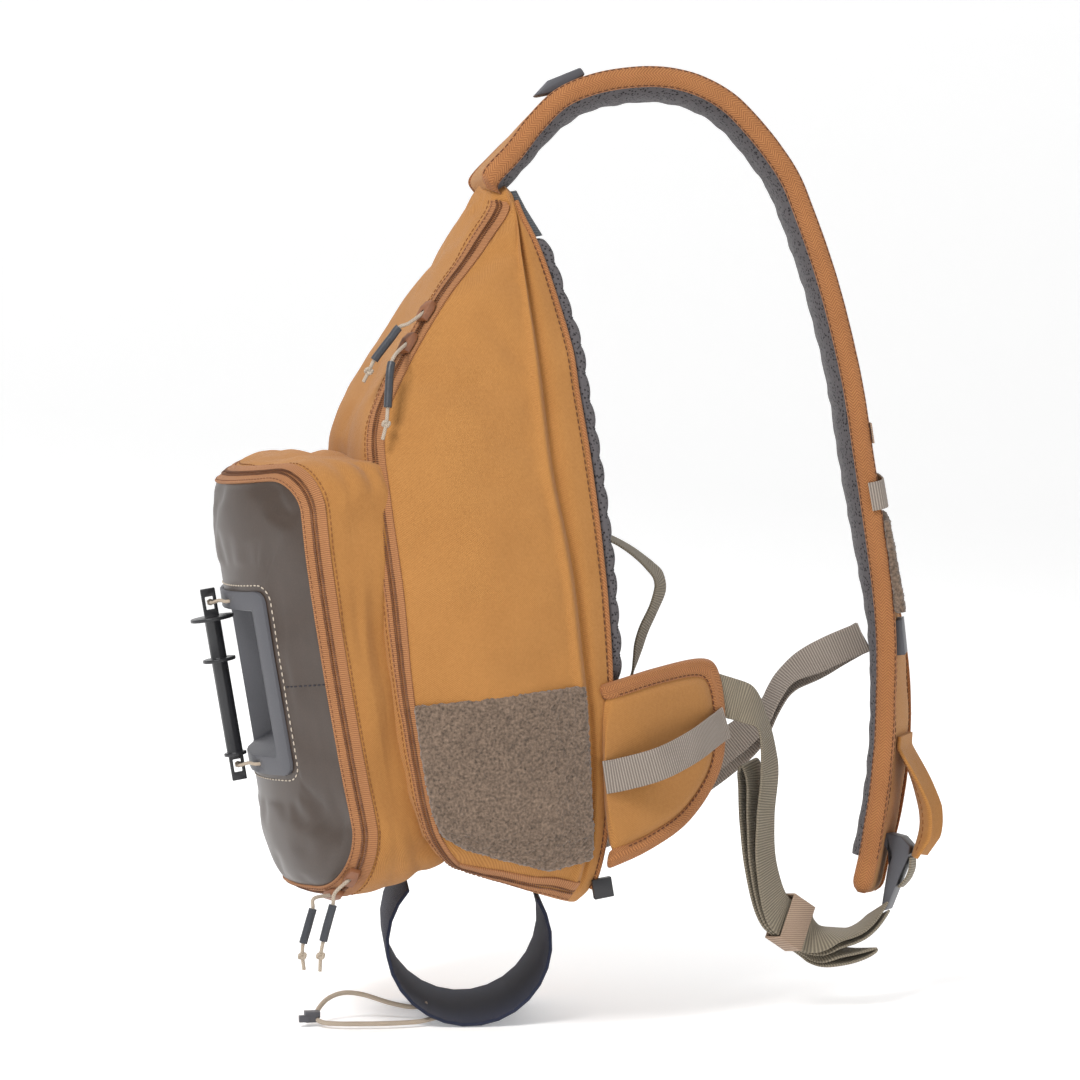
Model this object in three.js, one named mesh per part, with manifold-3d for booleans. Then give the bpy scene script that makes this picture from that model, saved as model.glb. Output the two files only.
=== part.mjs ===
// A sling bag for tackle, worn by one padded shoulder strap, in millimetres with +Z up.
// The origin is where the strap hangs, under the top of its arch. The bag's front faces -X,
// the wearer's back is at +X, and the zipped side faces -Y.
import * as THREE from 'three';
import { mergeVertices } from 'three/addons/utils/BufferGeometryUtils.js';
import Module from 'manifold-3d';

const wasm = await Module();
wasm.setup();

// Clearance between pieces that touch
const GAP = 0.3;

// Main compartment, measured along its own upright back
const BODY_HEIGHT = 432;
const BODY_DEPTH = 138;
const BODY_HALF = 114;
const BODY_LEAN_DEG = 9.5;
const SIDE_BULGE = 7;
const FRONT_BULGE = 4;
const CLOTH = 2.4;

// Zips: a tape with a coil along its middle
const TAPE_THICK = 1.5;
const COIL_RISE = 0.9;
const COIL_SHARE = 0.26;

// Back pad with sewn ribs
const PAD_THICK = 9;
const RIB_PITCH = 17;
const RIB_RISE = 2.4;

// Front pocket
const POCKET_HALF = 101;
const POCKET_HEIGHT = 264;
const POCKET_TOP = 141;
const POCKET_SIDE_DEPTH = 155;
const POCKET_DOME = 39;
const POCKET_PUFF = 3;
const POCKET_TOP_RADIUS = 30;
const POCKET_BOTTOM_RADIUS = 48;
const POCKET_ZIP_SLOPE = 14;
const POCKET_ZIP_INSET = 8;
const PANEL_THICK = 2.4;

// Moulded plate with a recess, and the bar that stands in front of it
const PLATE_HALF = 62;
const PLATE_HEIGHT = 113;
const PLATE_DROP = 73;
const PLATE_RADIUS = 7;
const PLATE_THICK = 2.2;
const PLATE_FLANGE = 11;
const RECESS_DEPTH = 17;
const RECESS_DRAFT = 5;
const BAR_RADIUS = 5;
const BAR_STANDOFF = 10.5;
const BAR_FLANGE_RADIUS = 13.5;
const BAR_STOP_RADIUS = 10.2;
const BAR_FOOT_RADIUS = 7;
const BAR_FLANGE_THICK = 2;
const EYELET_WIDTH = 9;
const EYELET_HEIGHT = 17;
const EYELET_THICK = 3;
const THIN_CORD = 2.2;

// Pile patch on the side
const PILE_THICK = 4;

// Shoulder strap
const STRAP_SPAN = 250;
const STRAP_DROP = 510;
const STRAP_WIDTH = 72;
const STRAP_THICK = 11;
const STRAP_MESH_THICK = 8;
const BINDING_WIDTH = 6;
const BINDING_THICK = 13;
const STRAP_TURN_DEG = 12;
const STRAP_LOWER_TURN_DEG = 15;

// Webbing
const WEB_THICK = 1.5;
const NARROW_WEB = 25;
const CROSS_WEB = 20;

// Waist wing
const WING_LENGTH = 86;
const WING_HEIGHT = 108;
const WING_THICK = 9;
const WING_BINDING = 9;

// Bottle sling under the bag
const HOLDER_RADIUS = 49;
const HOLDER_WIDTH = 112;
const HOLDER_WALL = 2.2;
const HOLDER_TURN_DEG = 8;
const SHOCK_CORD = 3;

const point = (x, y, z) => new THREE.Vector3(x, y, z);
const mix = THREE.MathUtils.lerp;
const radians = THREE.MathUtils.degToRad;

// Turns every triangle round where a closed surface faces inwards.
function outward(geometry) {
  const at = geometry.getAttribute('position');
  const order = geometry.index.array;
  const a = point(0, 0, 0);
  const b = point(0, 0, 0);
  const c = point(0, 0, 0);
  let volume = 0;
  for (let i = 0; i < order.length; i += 3) {
    a.fromBufferAttribute(at, order[i]);
    b.fromBufferAttribute(at, order[i + 1]);
    c.fromBufferAttribute(at, order[i + 2]);
    volume += a.dot(b.cross(c));
  }
  if (volume < 0) {
    for (let i = 0; i < order.length; i += 3) {
      [order[i + 1], order[i + 2]] = [order[i + 2], order[i + 1]];
    }
  }
  return geometry;
}

// A closed surface through rings of points. A loop joins its last ring to its first,
// and any other has a fan at each end. Faces named in crossed are split on their other diagonal.
function skin(rings, isLoop = false, crossed = []) {
  const count = rings[0].length;
  const positions = rings.flat().flatMap((p) => [p.x, p.y, p.z]);
  const order = [];
  const bands = isLoop ? rings.length : rings.length - 1;
  for (let r = 0; r < bands; r += 1) {
    const here = r * count;
    const next = ((r + 1) % rings.length) * count;
    for (let i = 0; i < count; i += 1) {
      const j = (i + 1) % count;
      if (crossed.includes(i)) {
        order.push(here + i, here + j, next + i, here + j, next + j, next + i);
      } else {
        order.push(here + i, here + j, next + j, here + i, next + j, next + i);
      }
    }
  }
  if (!isLoop) {
    for (const [ring, start, flip] of [
      [rings[0], 0, true],
      [rings.at(-1), (rings.length - 1) * count, false],
    ]) {
      const middle = ring.reduce((sum, p) => sum.add(p), point(0, 0, 0)).divideScalar(count);
      const hub = positions.length / 3;
      positions.push(middle.x, middle.y, middle.z);
      for (let i = 0; i < count; i += 1) {
        const j = (i + 1) % count;
        order.push(hub, start + (flip ? j : i), start + (flip ? i : j));
      }
    }
  }
  const geometry = new THREE.BufferGeometry();
  geometry.setAttribute('position', new THREE.Float32BufferAttribute(positions, 3));
  geometry.setIndex(order);
  return outward(geometry);
}

// A three.js geometry as a solid that can be cut and joined.
function toSolid(geometry) {
  const bare = geometry.clone();
  bare.deleteAttribute('normal');
  bare.deleteAttribute('uv');
  const merged = mergeVertices(bare, 1e-4);
  return new wasm.Manifold(
    new wasm.Mesh({
      numProp: 3,
      vertProperties: new Float32Array(merged.getAttribute('position').array),
      triVerts: new Uint32Array(merged.index.array),
    }),
  );
}

// A cut or joined solid as a three.js geometry.
function toGeometry(solid) {
  const mesh = solid.getMesh();
  const geometry = new THREE.BufferGeometry();
  geometry.setAttribute('position', new THREE.BufferAttribute(mesh.vertProperties, 3));
  geometry.setIndex(new THREE.BufferAttribute(mesh.triVerts, 1));
  return geometry;
}

const skinSolid = (rings, isLoop, crossed) => toSolid(skin(rings, isLoop, crossed));

// Moves the corners of a closed outline outwards by a distance, in the plane of two of its axes.
function grow(ring, distance, first = 'x', second = 'y') {
  let area = 0;
  ring.forEach((p, i) => {
    const q = ring[(i + 1) % ring.length];
    area += p[first] * q[second] - q[first] * p[second];
  });
  const turn = Math.sign(area);
  const normalOf = (p, q) => {
    const across = new THREE.Vector2(q[second] - p[second], p[first] - q[first]);
    return across.normalize().multiplyScalar(turn);
  };
  return ring.map((p, i) => {
    const before = normalOf(ring[(i + ring.length - 1) % ring.length], p);
    const after = normalOf(p, ring[(i + 1) % ring.length]);
    const both = before.add(after);
    const reach = (2 * distance) / Math.max(both.lengthSq(), 1);
    const moved = p.clone();
    moved[first] += both.x * reach;
    moved[second] += both.y * reach;
    return moved;
  });
}

// Main compartment

// One row for each level, in shares of the height (frontZ, backZ), the depth (every X) and the
// half width (every W). The zip lies between its front edge and its side edge, and a soft fold
// runs down the side behind it.
const BODY_COLUMNS = [
  'frontZ', 'backZ', 'frontX', 'zipX', 'zipW', 'tapeX', 'tapeW', 'foldX', 'foldW', 'backX', 'backW',
];
const BODY_ROWS = [
  [0.009, -0.007, -0.101, -0.065, 0.211, -0.022, 0.272, -0.007, 0.289, 0.007, 0.272],
  [-0.021, -0.039, -0.181, -0.116, 0.254, -0.029, 0.307, 0.000, 0.333, 0.022, 0.316],
  [-0.083, -0.088, -0.341, -0.283, 0.333, -0.196, 0.404, -0.022, 0.439, 0.058, 0.412],
  [-0.144, -0.146, -0.500, -0.471, 0.421, -0.413, 0.509, -0.036, 0.544, 0.080, 0.491],
  [-0.231, -0.231, -0.696, -0.717, 0.509, -0.652, 0.605, -0.058, 0.684, 0.094, 0.632],
  [-0.301, -0.301, -0.848, -0.855, 0.596, -0.790, 0.693, -0.080, 0.772, 0.080, 0.719],
  [-0.398, -0.398, -0.913, -0.906, 0.754, -0.833, 0.825, -0.109, 0.877, 0.065, 0.825],
  [-0.521, -0.521, -0.957, -0.935, 0.851, -0.855, 0.912, -0.109, 0.965, 0.036, 0.904],
  [-0.648, -0.648, -0.986, -0.957, 0.904, -0.891, 0.965, -0.130, 0.991, 0.000, 0.930],
  [-0.764, -0.773, -1.000, -0.957, 0.912, -0.899, 0.974, -0.159, 1.000, -0.058, 0.930],
  [-0.847, -0.898, -0.993, -0.942, 0.904, -0.884, 0.965, -0.225, 0.982, -0.145, 0.921],
  [-0.894, -0.972, -0.928, -0.870, 0.860, -0.812, 0.912, -0.297, 0.930, -0.232, 0.877],
  [-0.917, -1.000, -0.812, -0.768, 0.772, -0.732, 0.807, -0.362, 0.833, -0.312, 0.789],
].map((row) => Object.fromEntries(row.map((share, i) => [BODY_COLUMNS[i], share])));
// Each side's bulge between the zip and the fold, as shares along and out
const SIDE_STEPS = [
  { along: 0.25, out: 0.75 },
  { along: 0.5, out: 1 },
  { along: 0.75, out: 0.75 },
];

// Half of a level's outline from the front's middle to the back's middle, on the -Y side.
function halfLevel(row) {
  const frontX = row.frontX * BODY_DEPTH;
  const backX = row.backX * BODY_DEPTH;
  const heightAt = (x) => {
    const share = (x - frontX) / (backX - frontX);
    return mix(row.frontZ, row.backZ, share) * BODY_HEIGHT;
  };
  const corner = (x, w) => point(x * BODY_DEPTH, -w * BODY_HALF, heightAt(x * BODY_DEPTH));
  const zip = corner(row.zipX, row.zipW);
  const tape = corner(row.tapeX, row.tapeW);
  const fold = corner(row.foldX, row.foldW);
  const back = corner(row.backX, row.backW);
  const front = corner(row.frontX, 0);
  const half = [front];
  for (const share of [0.4, 0.75]) {
    const p = front.clone().lerp(zip, share);
    p.x -= FRONT_BULGE * Math.sin(Math.PI * share) * row.zipW;
    half.push(p);
  }
  half.push(zip, tape);
  for (const step of SIDE_STEPS) {
    const p = tape.clone().lerp(fold, step.along);
    p.y -= SIDE_BULGE * step.out * row.foldW;
    half.push(p);
  }
  half.push(fold, back, corner(row.backX, row.backW * 0.5), corner(row.backX, 0));
  return half;
}
const HALF_COUNT = halfLevel(BODY_ROWS[0]).length;
const ZIP_INDEX = 3;
const TAPE_INDEX = 4;
const FOLD_INDEX = TAPE_INDEX + SIDE_STEPS.length + 1;

function bodyLevel(row) {
  const half = halfLevel(row);
  const far = half.slice(1, -1).reverse().map((p) => point(p.x, -p.y, p.z));
  return [...half, ...far];
}

// The compartment's outer form, larger all round by a distance, or smaller where it is negative,
// in its own frame or another that place leads to.
function bodyForm(distance, place = (p) => p) {
  const rings = BODY_ROWS.map((row) => grow(bodyLevel(row), distance));
  rings[0].forEach((p) => {
    p.z += distance;
  });
  rings.at(-1).forEach((p) => {
    p.z -= distance;
  });
  return skinSolid(rings.map((ring) => ring.map(place)));
}

// Places and directions along a strip, given its pairs of edge points.
function stripFrames(pairs, isLoop) {
  const last = pairs.length - 1;
  return pairs.map(([left, right], i) => {
    const before = pairs[isLoop ? (i + last) % pairs.length : Math.max(i - 1, 0)];
    const after = pairs[isLoop ? (i + 1) % pairs.length : Math.min(i + 1, last)];
    const along = after[0].clone().add(after[1]).sub(before[0]).sub(before[1]).normalize();
    const out = right.clone().sub(left).normalize().cross(along).normalize();
    return { left, right, out };
  });
}

// Sweeps a section along a strip: across runs from -1 at the left edge to 1 at the right,
// and lift is in millimetres above the surface.
function onStrip(pairs, section, isLoop = false, crossed = []) {
  const rings = stripFrames(pairs, isLoop).map(({ left, right, out }) =>
    section.map(([across, lift]) => left.clone().lerp(right, (across + 1) / 2).addScaledVector(out, lift)),
  );
  return skinSolid(rings, isLoop, crossed);
}
const slotBox = (share, reach) => [
  [-share, reach],
  [share, reach],
  [share, -reach],
  [-share, -reach],
];

// A zip's section: a flat tape with a raised coil along its middle.
const ZIP_LOW = GAP * 1.3;
const ZIP_SECTION = [
  [-1, ZIP_LOW],
  [-1, ZIP_LOW + TAPE_THICK],
  [-COIL_SHARE, ZIP_LOW + TAPE_THICK],
  [-COIL_SHARE * 0.8, ZIP_LOW + TAPE_THICK + COIL_RISE],
  [COIL_SHARE * 0.8, ZIP_LOW + TAPE_THICK + COIL_RISE],
  [COIL_SHARE, ZIP_LOW + TAPE_THICK],
  [1, ZIP_LOW + TAPE_THICK],
  [1, ZIP_LOW],
];
const zipOn = (pairs, isLoop) => onStrip(pairs, ZIP_SECTION, isLoop, [ZIP_SECTION.length - 1]);

// The zip's path: down the front corner of the near side, round its foot and back along its hem.
function mainZipPairs() {
  const levels = BODY_ROWS.map((row) => halfLevel(row));
  const hem = levels.at(-2);
  const foot = levels.at(-1);
  const down = levels.slice(0, -2).map((level) => [level[ZIP_INDEX], level[TAPE_INDEX]]);
  const start = down[0][0].clone().lerp(down[1][0], 0.5);
  const pairs = [[start, down[0][1].clone().lerp(down[1][1], 0.5)], ...down.slice(1)];
  const pivot = hem[TAPE_INDEX];
  pairs.push([hem[ZIP_INDEX], pivot.clone().lerp(levels.at(-3)[TAPE_INDEX], 0.1)]);
  pairs.push([foot[ZIP_INDEX], pivot.clone()]);
  pairs.push([foot[TAPE_INDEX], pivot.clone().lerp(hem[TAPE_INDEX + 1], 0.12)]);
  for (let i = TAPE_INDEX + 1; i <= FOLD_INDEX; i += 1) pairs.push([foot[i], hem[i]]);
  return pairs.map(([front, back]) => [back, front]);
}
const mainZip = mainZipPairs();

const SLOT_REACH = 9;
const SLOT_SHARE = 0.8;
const zipClear = () => onStrip(mainZip, slotBox(1.1, SLOT_REACH));

// The compartment as cloth walls round its hollow, open along the zip's slot.
function mainShell() {
  const slot = onStrip(mainZip, slotBox(SLOT_SHARE, SLOT_REACH));
  return bodyForm(0).subtract(bodyForm(-CLOTH)).subtract(slot);
}

// Front pocket

const POCKET_BOTTOM = -POCKET_TOP - POCKET_HEIGHT;

// A rounded outline in Y and Z, drawn smaller by an inset, with the same count of points always.
function outline(half, top, bottom, topRadius, bottomRadius, inset = 0) {
  const corner = (side, z, radius, from) => {
    const r = Math.max(radius - inset, 2);
    const y = side * (half - inset - r);
    const centre = z + (z === top ? -1 : 1) * (inset + r);
    return [0, 1, 2, 3].map((i) => {
      const angle = from + (i * Math.PI) / 6;
      return [y + r * Math.cos(angle), centre + r * Math.sin(angle)];
    });
  };
  const corners = [
    corner(1, top, topRadius, 0),
    corner(-1, top, topRadius, Math.PI / 2),
    corner(-1, bottom, bottomRadius, Math.PI),
    corner(1, bottom, bottomRadius, Math.PI * 1.5),
  ];
  const straights = [6, 3, 6, 3];
  return corners.flatMap((arc, i) => {
    const next = corners[(i + 1) % corners.length][0];
    const from = arc.at(-1);
    const between = [];
    for (let k = 1; k < straights[i]; k += 1) {
      const share = k / straights[i];
      between.push([mix(from[0], next[0], share), mix(from[1], next[1], share)]);
    }
    return [...arc, ...between];
  });
}

const pocketOutline = (inset) =>
  outline(POCKET_HALF, -POCKET_TOP, POCKET_BOTTOM, POCKET_TOP_RADIUS, POCKET_BOTTOM_RADIUS, inset);

// The pocket's domed front, as X for a place across it and up it.
const PANEL_HALF = POCKET_HALF - POCKET_ZIP_INSET;
const DOME_RADIUS = (PANEL_HALF ** 2 + POCKET_DOME ** 2) / (2 * POCKET_DOME);
const EDGE_DIP = 7;
const EDGE_POWER = 8;
function panelX(y, z) {
  const across = Math.min(Math.abs(y), PANEL_HALF);
  const dome = Math.sqrt(DOME_RADIUS ** 2 - across ** 2) - (DOME_RADIUS - POCKET_DOME);
  const share = (z + POCKET_TOP + POCKET_HEIGHT / 2) / (POCKET_HEIGHT / 2);
  const puff = POCKET_PUFF * (1 - share ** 2);
  const dip = EDGE_DIP * Math.abs(share) ** EDGE_POWER;
  return -(POCKET_SIDE_DEPTH + POCKET_ZIP_SLOPE) - dome - puff + dip;
}

// A ring of the pocket: its outline at an inset, set back from the domed front.
function pocketRing(inset, setBack, distance = 0) {
  const flat = pocketOutline(inset - distance);
  const front = pocketOutline(Math.max(inset, POCKET_ZIP_INSET));
  return flat.map(([y, z], i) => {
    const x = panelX(front[i][0], front[i][1]) + setBack;
    return point(x - distance * 0.5, y, z);
  });
}

// The ring where the pocket is sewn to the compartment, a little inside it so that it can be cut.
const SEAM_SHARE = 0.84;
const GUSSET_SWELL = 3;
function seamRing(inset) {
  return pocketOutline(inset).map(([y, z]) => point(-BODY_DEPTH * SEAM_SHARE, y, z));
}
function gussetRing(share, inset) {
  const seam = seamRing(inset + 5);
  const rim = pocketRing(inset, POCKET_ZIP_SLOPE);
  const swell = GUSSET_SWELL * Math.sin(Math.PI * share);
  return grow(seam.map((p, i) => p.clone().lerp(rim[i], share)), swell, 'y', 'z');
}

const pocketZip = (() => {
  const outer = pocketRing(0, POCKET_ZIP_SLOPE);
  const inner = pocketRing(POCKET_ZIP_INSET, 0);
  return outer.map((p, i) => [p, inner[i]]);
})();

// The pocket's walls: a gusset out to the zip, and a back against the compartment.
const GUSSET_RIM_SHARE = 0.36;
function frontPocket() {
  const outer = [seamRing(5), gussetRing(0.5, 0), pocketRing(0, POCKET_ZIP_SLOPE)];
  const inner = [seamRing(5 + CLOTH), gussetRing(0.5, CLOTH), pocketRing(CLOTH, POCKET_ZIP_SLOPE + 1)];
  const lip = pocketZip.map(([a, b]) => a.clone().lerp(b, GUSSET_RIM_SHARE));
  const innerLip = grow(lip, -CLOTH, 'y', 'z').map((p) => point(p.x + CLOTH * 0.6, p.y, p.z));
  const gusset = skinSolid([...outer, lip, innerLip, ...inner.reverse()], true);
  const backing = skinSolid([seamRing(5), gussetRing(0.5, 0)]).intersect(bodyForm(GAP + CLOTH));
  return gusset.add(backing).subtract(bodyForm(GAP)).subtract(zipClear());
}

// Plate places, shared with the panel's opening and the bar
const PLATE_TOP = -POCKET_TOP - PLATE_DROP;
const PLATE_MIDDLE = PLATE_TOP - PLATE_HEIGHT / 2;
function plateOutline(inset) {
  return outline(PLATE_HALF, PLATE_TOP, PLATE_TOP - PLATE_HEIGHT, PLATE_RADIUS, PLATE_RADIUS, inset);
}

// The panel: a leathery sheet from the zip's inner edge to the plate's opening.
function frontPanel() {
  const edge = pocketZip.map(([a, b]) => a.clone().lerp(b, 1 - GUSSET_RIM_SHARE));
  const rim = pocketRing(POCKET_ZIP_INSET, 0);
  const hole = plateOutline(PLATE_FLANGE - PLATE_THICK - 1);
  const between = (share) =>
    rim.map((p, i) => {
      const y = mix(p.y, hole[i][0], share);
      const z = mix(p.z, hole[i][1], share);
      return point(panelX(y, z), y, z);
    });
  const outer = [edge, rim, between(0.33), between(0.66), between(1)];
  const back = (p) => point(p.x + PANEL_THICK, p.y, p.z);
  const inner = outer.map((ring, i) => (i < 2 ? grow(ring, -PANEL_THICK * 0.8, 'y', 'z') : ring));
  return skinSolid([...outer, ...inner.map((ring) => ring.map(back)).reverse()], true);
}

// The moulded plate: a flange on the panel round a drafted recess.
function tippetPlate() {
  const on = (inset, lift) =>
    plateOutline(inset).map(([y, z]) => point(panelX(y, z) - GAP - lift, y, z));
  const sunk = (inset, thick) =>
    plateOutline(inset).map(([y, z]) => {
      const floor = panelX(0, PLATE_MIDDLE) + RECESS_DEPTH;
      return point(floor + thick + (panelX(y, z) - panelX(0, z)) * 0.35, y, z);
    });
  const rings = [
    sunk(PLATE_FLANGE + RECESS_DRAFT + 14, 0),
    sunk(PLATE_FLANGE + RECESS_DRAFT, 0),
    on(PLATE_FLANGE, PLATE_THICK),
    on(0, PLATE_THICK),
    on(0, 0),
    on(PLATE_FLANGE - PLATE_THICK, 0),
    sunk(PLATE_FLANGE + RECESS_DRAFT - PLATE_THICK, PLATE_THICK),
    sunk(PLATE_FLANGE + RECESS_DRAFT + 14, PLATE_THICK),
  ];
  return skinSolid(rings);
}

// A round bar along an axis, as a solid between two places.
function rod(from, to, radius, sides = 12, topRadius = radius) {
  const along = to.clone().sub(from);
  const geometry = new THREE.CylinderGeometry(topRadius, radius, along.length(), sides);
  const turn = new THREE.Quaternion().setFromUnitVectors(point(0, 1, 0), along.normalize());
  geometry.applyQuaternion(turn);
  const middle = from.clone().add(to).multiplyScalar(0.5);
  geometry.translate(middle.x, middle.y, middle.z);
  return toSolid(geometry);
}

// A box with its middle at a place.
function block(at, x, y, z) {
  return toSolid(new THREE.BoxGeometry(x, y, z).translate(at.x, at.y, at.z));
}

// The bar for spools: a rod with a stop under its head, a foot flange and a slotted eye at each end.
const BAR_X = panelX(0, PLATE_MIDDLE) - BAR_STANDOFF;
const EYE_SLOT = EYELET_WIDTH - 4;
const EYE_TOP = PLATE_TOP + 2;
const EYE_FOOT = PLATE_TOP - PLATE_HEIGHT - 4;
const barPoint = (z) => point(BAR_X, 0, z);
function tippetBar() {
  const head = EYE_TOP - EYELET_HEIGHT;
  const foot = EYE_FOOT + EYELET_HEIGHT;
  const stop = head - 26;
  const disc = (z, radius) => rod(barPoint(z - BAR_FLANGE_THICK), barPoint(z), radius, 16);
  const eye = (z) => {
    const plate = block(barPoint(z), EYELET_WIDTH, EYELET_THICK, EYELET_HEIGHT + 1);
    const slot = block(barPoint(z), EYE_SLOT, EYELET_THICK * 2, EYELET_HEIGHT - 9);
    return plate.subtract(slot);
  };
  return rod(barPoint(foot - 1), barPoint(head), BAR_RADIUS)
    .add(disc(head, BAR_FLANGE_RADIUS))
    .add(disc(stop, BAR_STOP_RADIUS))
    .add(disc(foot, BAR_FOOT_RADIUS))
    .add(eye(head + EYELET_HEIGHT / 2))
    .add(eye(foot - EYELET_HEIGHT / 2));
}

// A tube along a route of chosen points, round in section.
function tube(route, diameter, steps, sides = 8) {
  const shape = new THREE.Shape();
  for (let i = 0; i < sides; i += 1) {
    const angle = (i * 2 * Math.PI) / sides;
    const x = (diameter / 2) * Math.cos(angle);
    const y = (diameter / 2) * Math.sin(angle);
    if (i === 0) shape.moveTo(x, y);
    else shape.lineTo(x, y);
  }
  const path = new THREE.CatmullRomCurve3(route, false, 'centripetal');
  const settings = { steps, bevelEnabled: false, extrudePath: path };
  return toSolid(new THREE.ExtrudeGeometry(shape, settings));
}

// A knot in a cord.
const knot = (at, radius) => toSolid(new THREE.IcosahedronGeometry(radius).translate(at.x, at.y, at.z));

// Holes in the plate's flange, where the bar's ties come out
const TIE_HOLE = { upperY: -18, lowerY: -24, inset: 6 };
const tieHole = (y, z) => point(panelX(y, z), y, z);
const UPPER_HOLE = tieHole(TIE_HOLE.upperY, PLATE_TOP - TIE_HOLE.inset);
const LOWER_HOLE = tieHole(TIE_HOLE.lowerY, PLATE_TOP - PLATE_HEIGHT + TIE_HOLE.inset);
const drill = (at) =>
  rod(at.clone().add(point(-8, 0, 0)), at.clone().add(point(8, 0, 0)), THIN_CORD / 2 + GAP * 2, 8);

// A tie from its hole in the plate through the bar's eye, ending in a knot.
function tie(hole, eyeZ) {
  const eye = point(BAR_X + EYE_SLOT / 2 - THIN_CORD / 2 - GAP, 0, eyeZ);
  const mid = hole.clone().lerp(eye, 0.5).add(point(-1.5, 0, 1));
  const route = [
    hole.clone().add(point(1.5, 0, 0)),
    hole.clone().add(point(-4, 0, 0)),
    mid,
    eye.clone().add(point(0, -EYELET_THICK, 0)),
    eye.clone().add(point(0, EYELET_THICK, 0)),
  ];
  const knotAt = eye.clone().add(point(0, EYELET_THICK + 1.6, 0));
  return tube(route, THIN_CORD, 9).add(knot(knotAt, THIN_CORD * 1.1));
}

// The pile patch on the near side, as shares of the depth and the height round its edge
const PATCH_EDGE = [
  { x: -0.905, z: -0.680 },
  { x: -0.155, z: -0.694 },
  { x: -0.236, z: -0.935 },
  { x: -0.440, z: -0.938 },
  { x: -0.620, z: -0.912 },
  { x: -0.790, z: -0.886 },
  { x: -0.872, z: -0.862 },
  { x: -0.915, z: -0.822 },
];
function pilePatch() {
  const shape = new THREE.Shape();
  PATCH_EDGE.forEach((corner, i) => {
    const x = corner.x * BODY_DEPTH;
    const z = corner.z * BODY_HEIGHT;
    if (i === 0) shape.moveTo(x, z);
    else shape.lineTo(x, z);
  });
  const slab = new THREE.ExtrudeGeometry(shape, { depth: BODY_HALF, bevelEnabled: false });
  slab.rotateX(Math.PI / 2);
  return toSolid(slab)
    .translate([0, -BODY_HALF * 0.4, 0])
    .intersect(bodyForm(GAP + PILE_THICK))
    .subtract(bodyForm(GAP))
    .subtract(zipClear());
}

// The back pad: a slab on the flat back with a crest between each two seams.
const PAD_TOP = -0.075;
const PAD_BOTTOM = -0.9;
function bodyBackAt(z) {
  const share = z / BODY_HEIGHT;
  const last = BODY_ROWS.length - 1;
  const i = Math.max(1, BODY_ROWS.findIndex((row) => row.backZ <= share));
  const low = BODY_ROWS[Math.min(i, last)];
  const high = BODY_ROWS[i - 1];
  const t = (share - high.backZ) / (low.backZ - high.backZ);
  return {
    x: mix(high.backX, low.backX, t) * BODY_DEPTH,
    half: mix(high.backW, low.backW, t) * BODY_HALF,
  };
}
const PAD_EDGE_SECTION = [
  { across: 1, out: 0.1 },
  { across: 0.985, out: 0.75 },
  { across: 0.93, out: 1 },
  { across: 0.5, out: 1.08 },
];
function backPad() {
  const length = (PAD_TOP - PAD_BOTTOM) * BODY_HEIGHT;
  const ribs = Math.max(2, Math.round(length / RIB_PITCH));
  const rings = [];
  for (let i = 0; i <= ribs * 2; i += 1) {
    const z = PAD_TOP * BODY_HEIGHT - (length * i) / (ribs * 2);
    const { x, half } = bodyBackAt(z);
    const isEnd = i === 0 || i === ribs * 2;
    const thick = (PAD_THICK - (i % 2 ? 0 : RIB_RISE)) * (isEnd ? 0.7 : 1);
    const near = PAD_EDGE_SECTION.map((s) => point(x + thick * s.out, -(half - 2) * s.across, z));
    const far = [...near].reverse().map((p) => point(p.x, -p.y, p.z));
    const under = [1, -1].map((side) => point(x - 4, side * (half - 4), z));
    rings.push([...near, ...far, ...under]);
  }
  return skinSolid(rings).subtract(bodyForm(GAP)).subtract(wingSpace());
}

// The plain cap over the pad's head, under the strap's root.
function padCap() {
  const rings = [-0.004, -0.03, PAD_TOP + 0.002].map((share) => {
    const z = share * BODY_HEIGHT;
    const { x, half } = bodyBackAt(z);
    const thick = PAD_THICK * mix(0.45, 0.85, share / PAD_TOP);
    return [
      point(x - 4, -(half - 3), z),
      point(x + thick * 0.6, -(half - 1.5), z),
      point(x + thick, -(half - 5), z),
      point(x + thick, half - 5, z),
      point(x + thick * 0.6, half - 1.5, z),
      point(x - 4, half - 3, z),
    ];
  });
  return skinSolid(rings).subtract(bodyForm(GAP));
}

// The waist wing, from the compartment's back corner to its tip, as shares of its length and height.
const WING_EDGE = [
  { along: 0, up: 1, out: 0 },
  { along: 0.45, up: 1.02, out: 0.1 },
  { along: 0.86, up: 1, out: 0.2 },
  { along: 0.98, up: 0.9, out: 0.22 },
  { along: 0.97, up: 0.62, out: 0.22 },
  { along: 0.87, up: 0.36, out: 0.2 },
  { along: 0.6, up: 0.14, out: 0.14 },
  { along: 0.3, up: 0.04, out: 0.06 },
  { along: 0, up: -0.01, out: 0 },
];
const WING_ROOT = point(-0.085 * BODY_DEPTH, -0.915 * BODY_HALF, -0.95 * BODY_HEIGHT);
const WING_CURVE = 44;
const WING_ROOT_SLANT = 13;
function wingPoint(along, up, lift) {
  const slant = WING_ROOT_SLANT * (1 - up) * (1 - along);
  const x = WING_ROOT.x + along * WING_LENGTH - slant;
  const y = WING_ROOT.y + WING_CURVE * Math.max(along, 0) ** 1.4 - lift;
  return point(x, y, WING_ROOT.z + up * WING_HEIGHT);
}
const WING_MIDDLE = { along: 0.42, up: 0.55 };
const shrunk = (corner, share) => ({
  along: corner.along === 0 ? Math.min(share, 0) : mix(corner.along, WING_MIDDLE.along, share),
  up: mix(corner.up, WING_MIDDLE.up, share),
});
const wingRing = (share, lift) =>
  WING_EDGE.map((corner) => {
    const at = shrunk(corner, share);
    return wingPoint(at.along, at.up, lift);
  });
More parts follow.
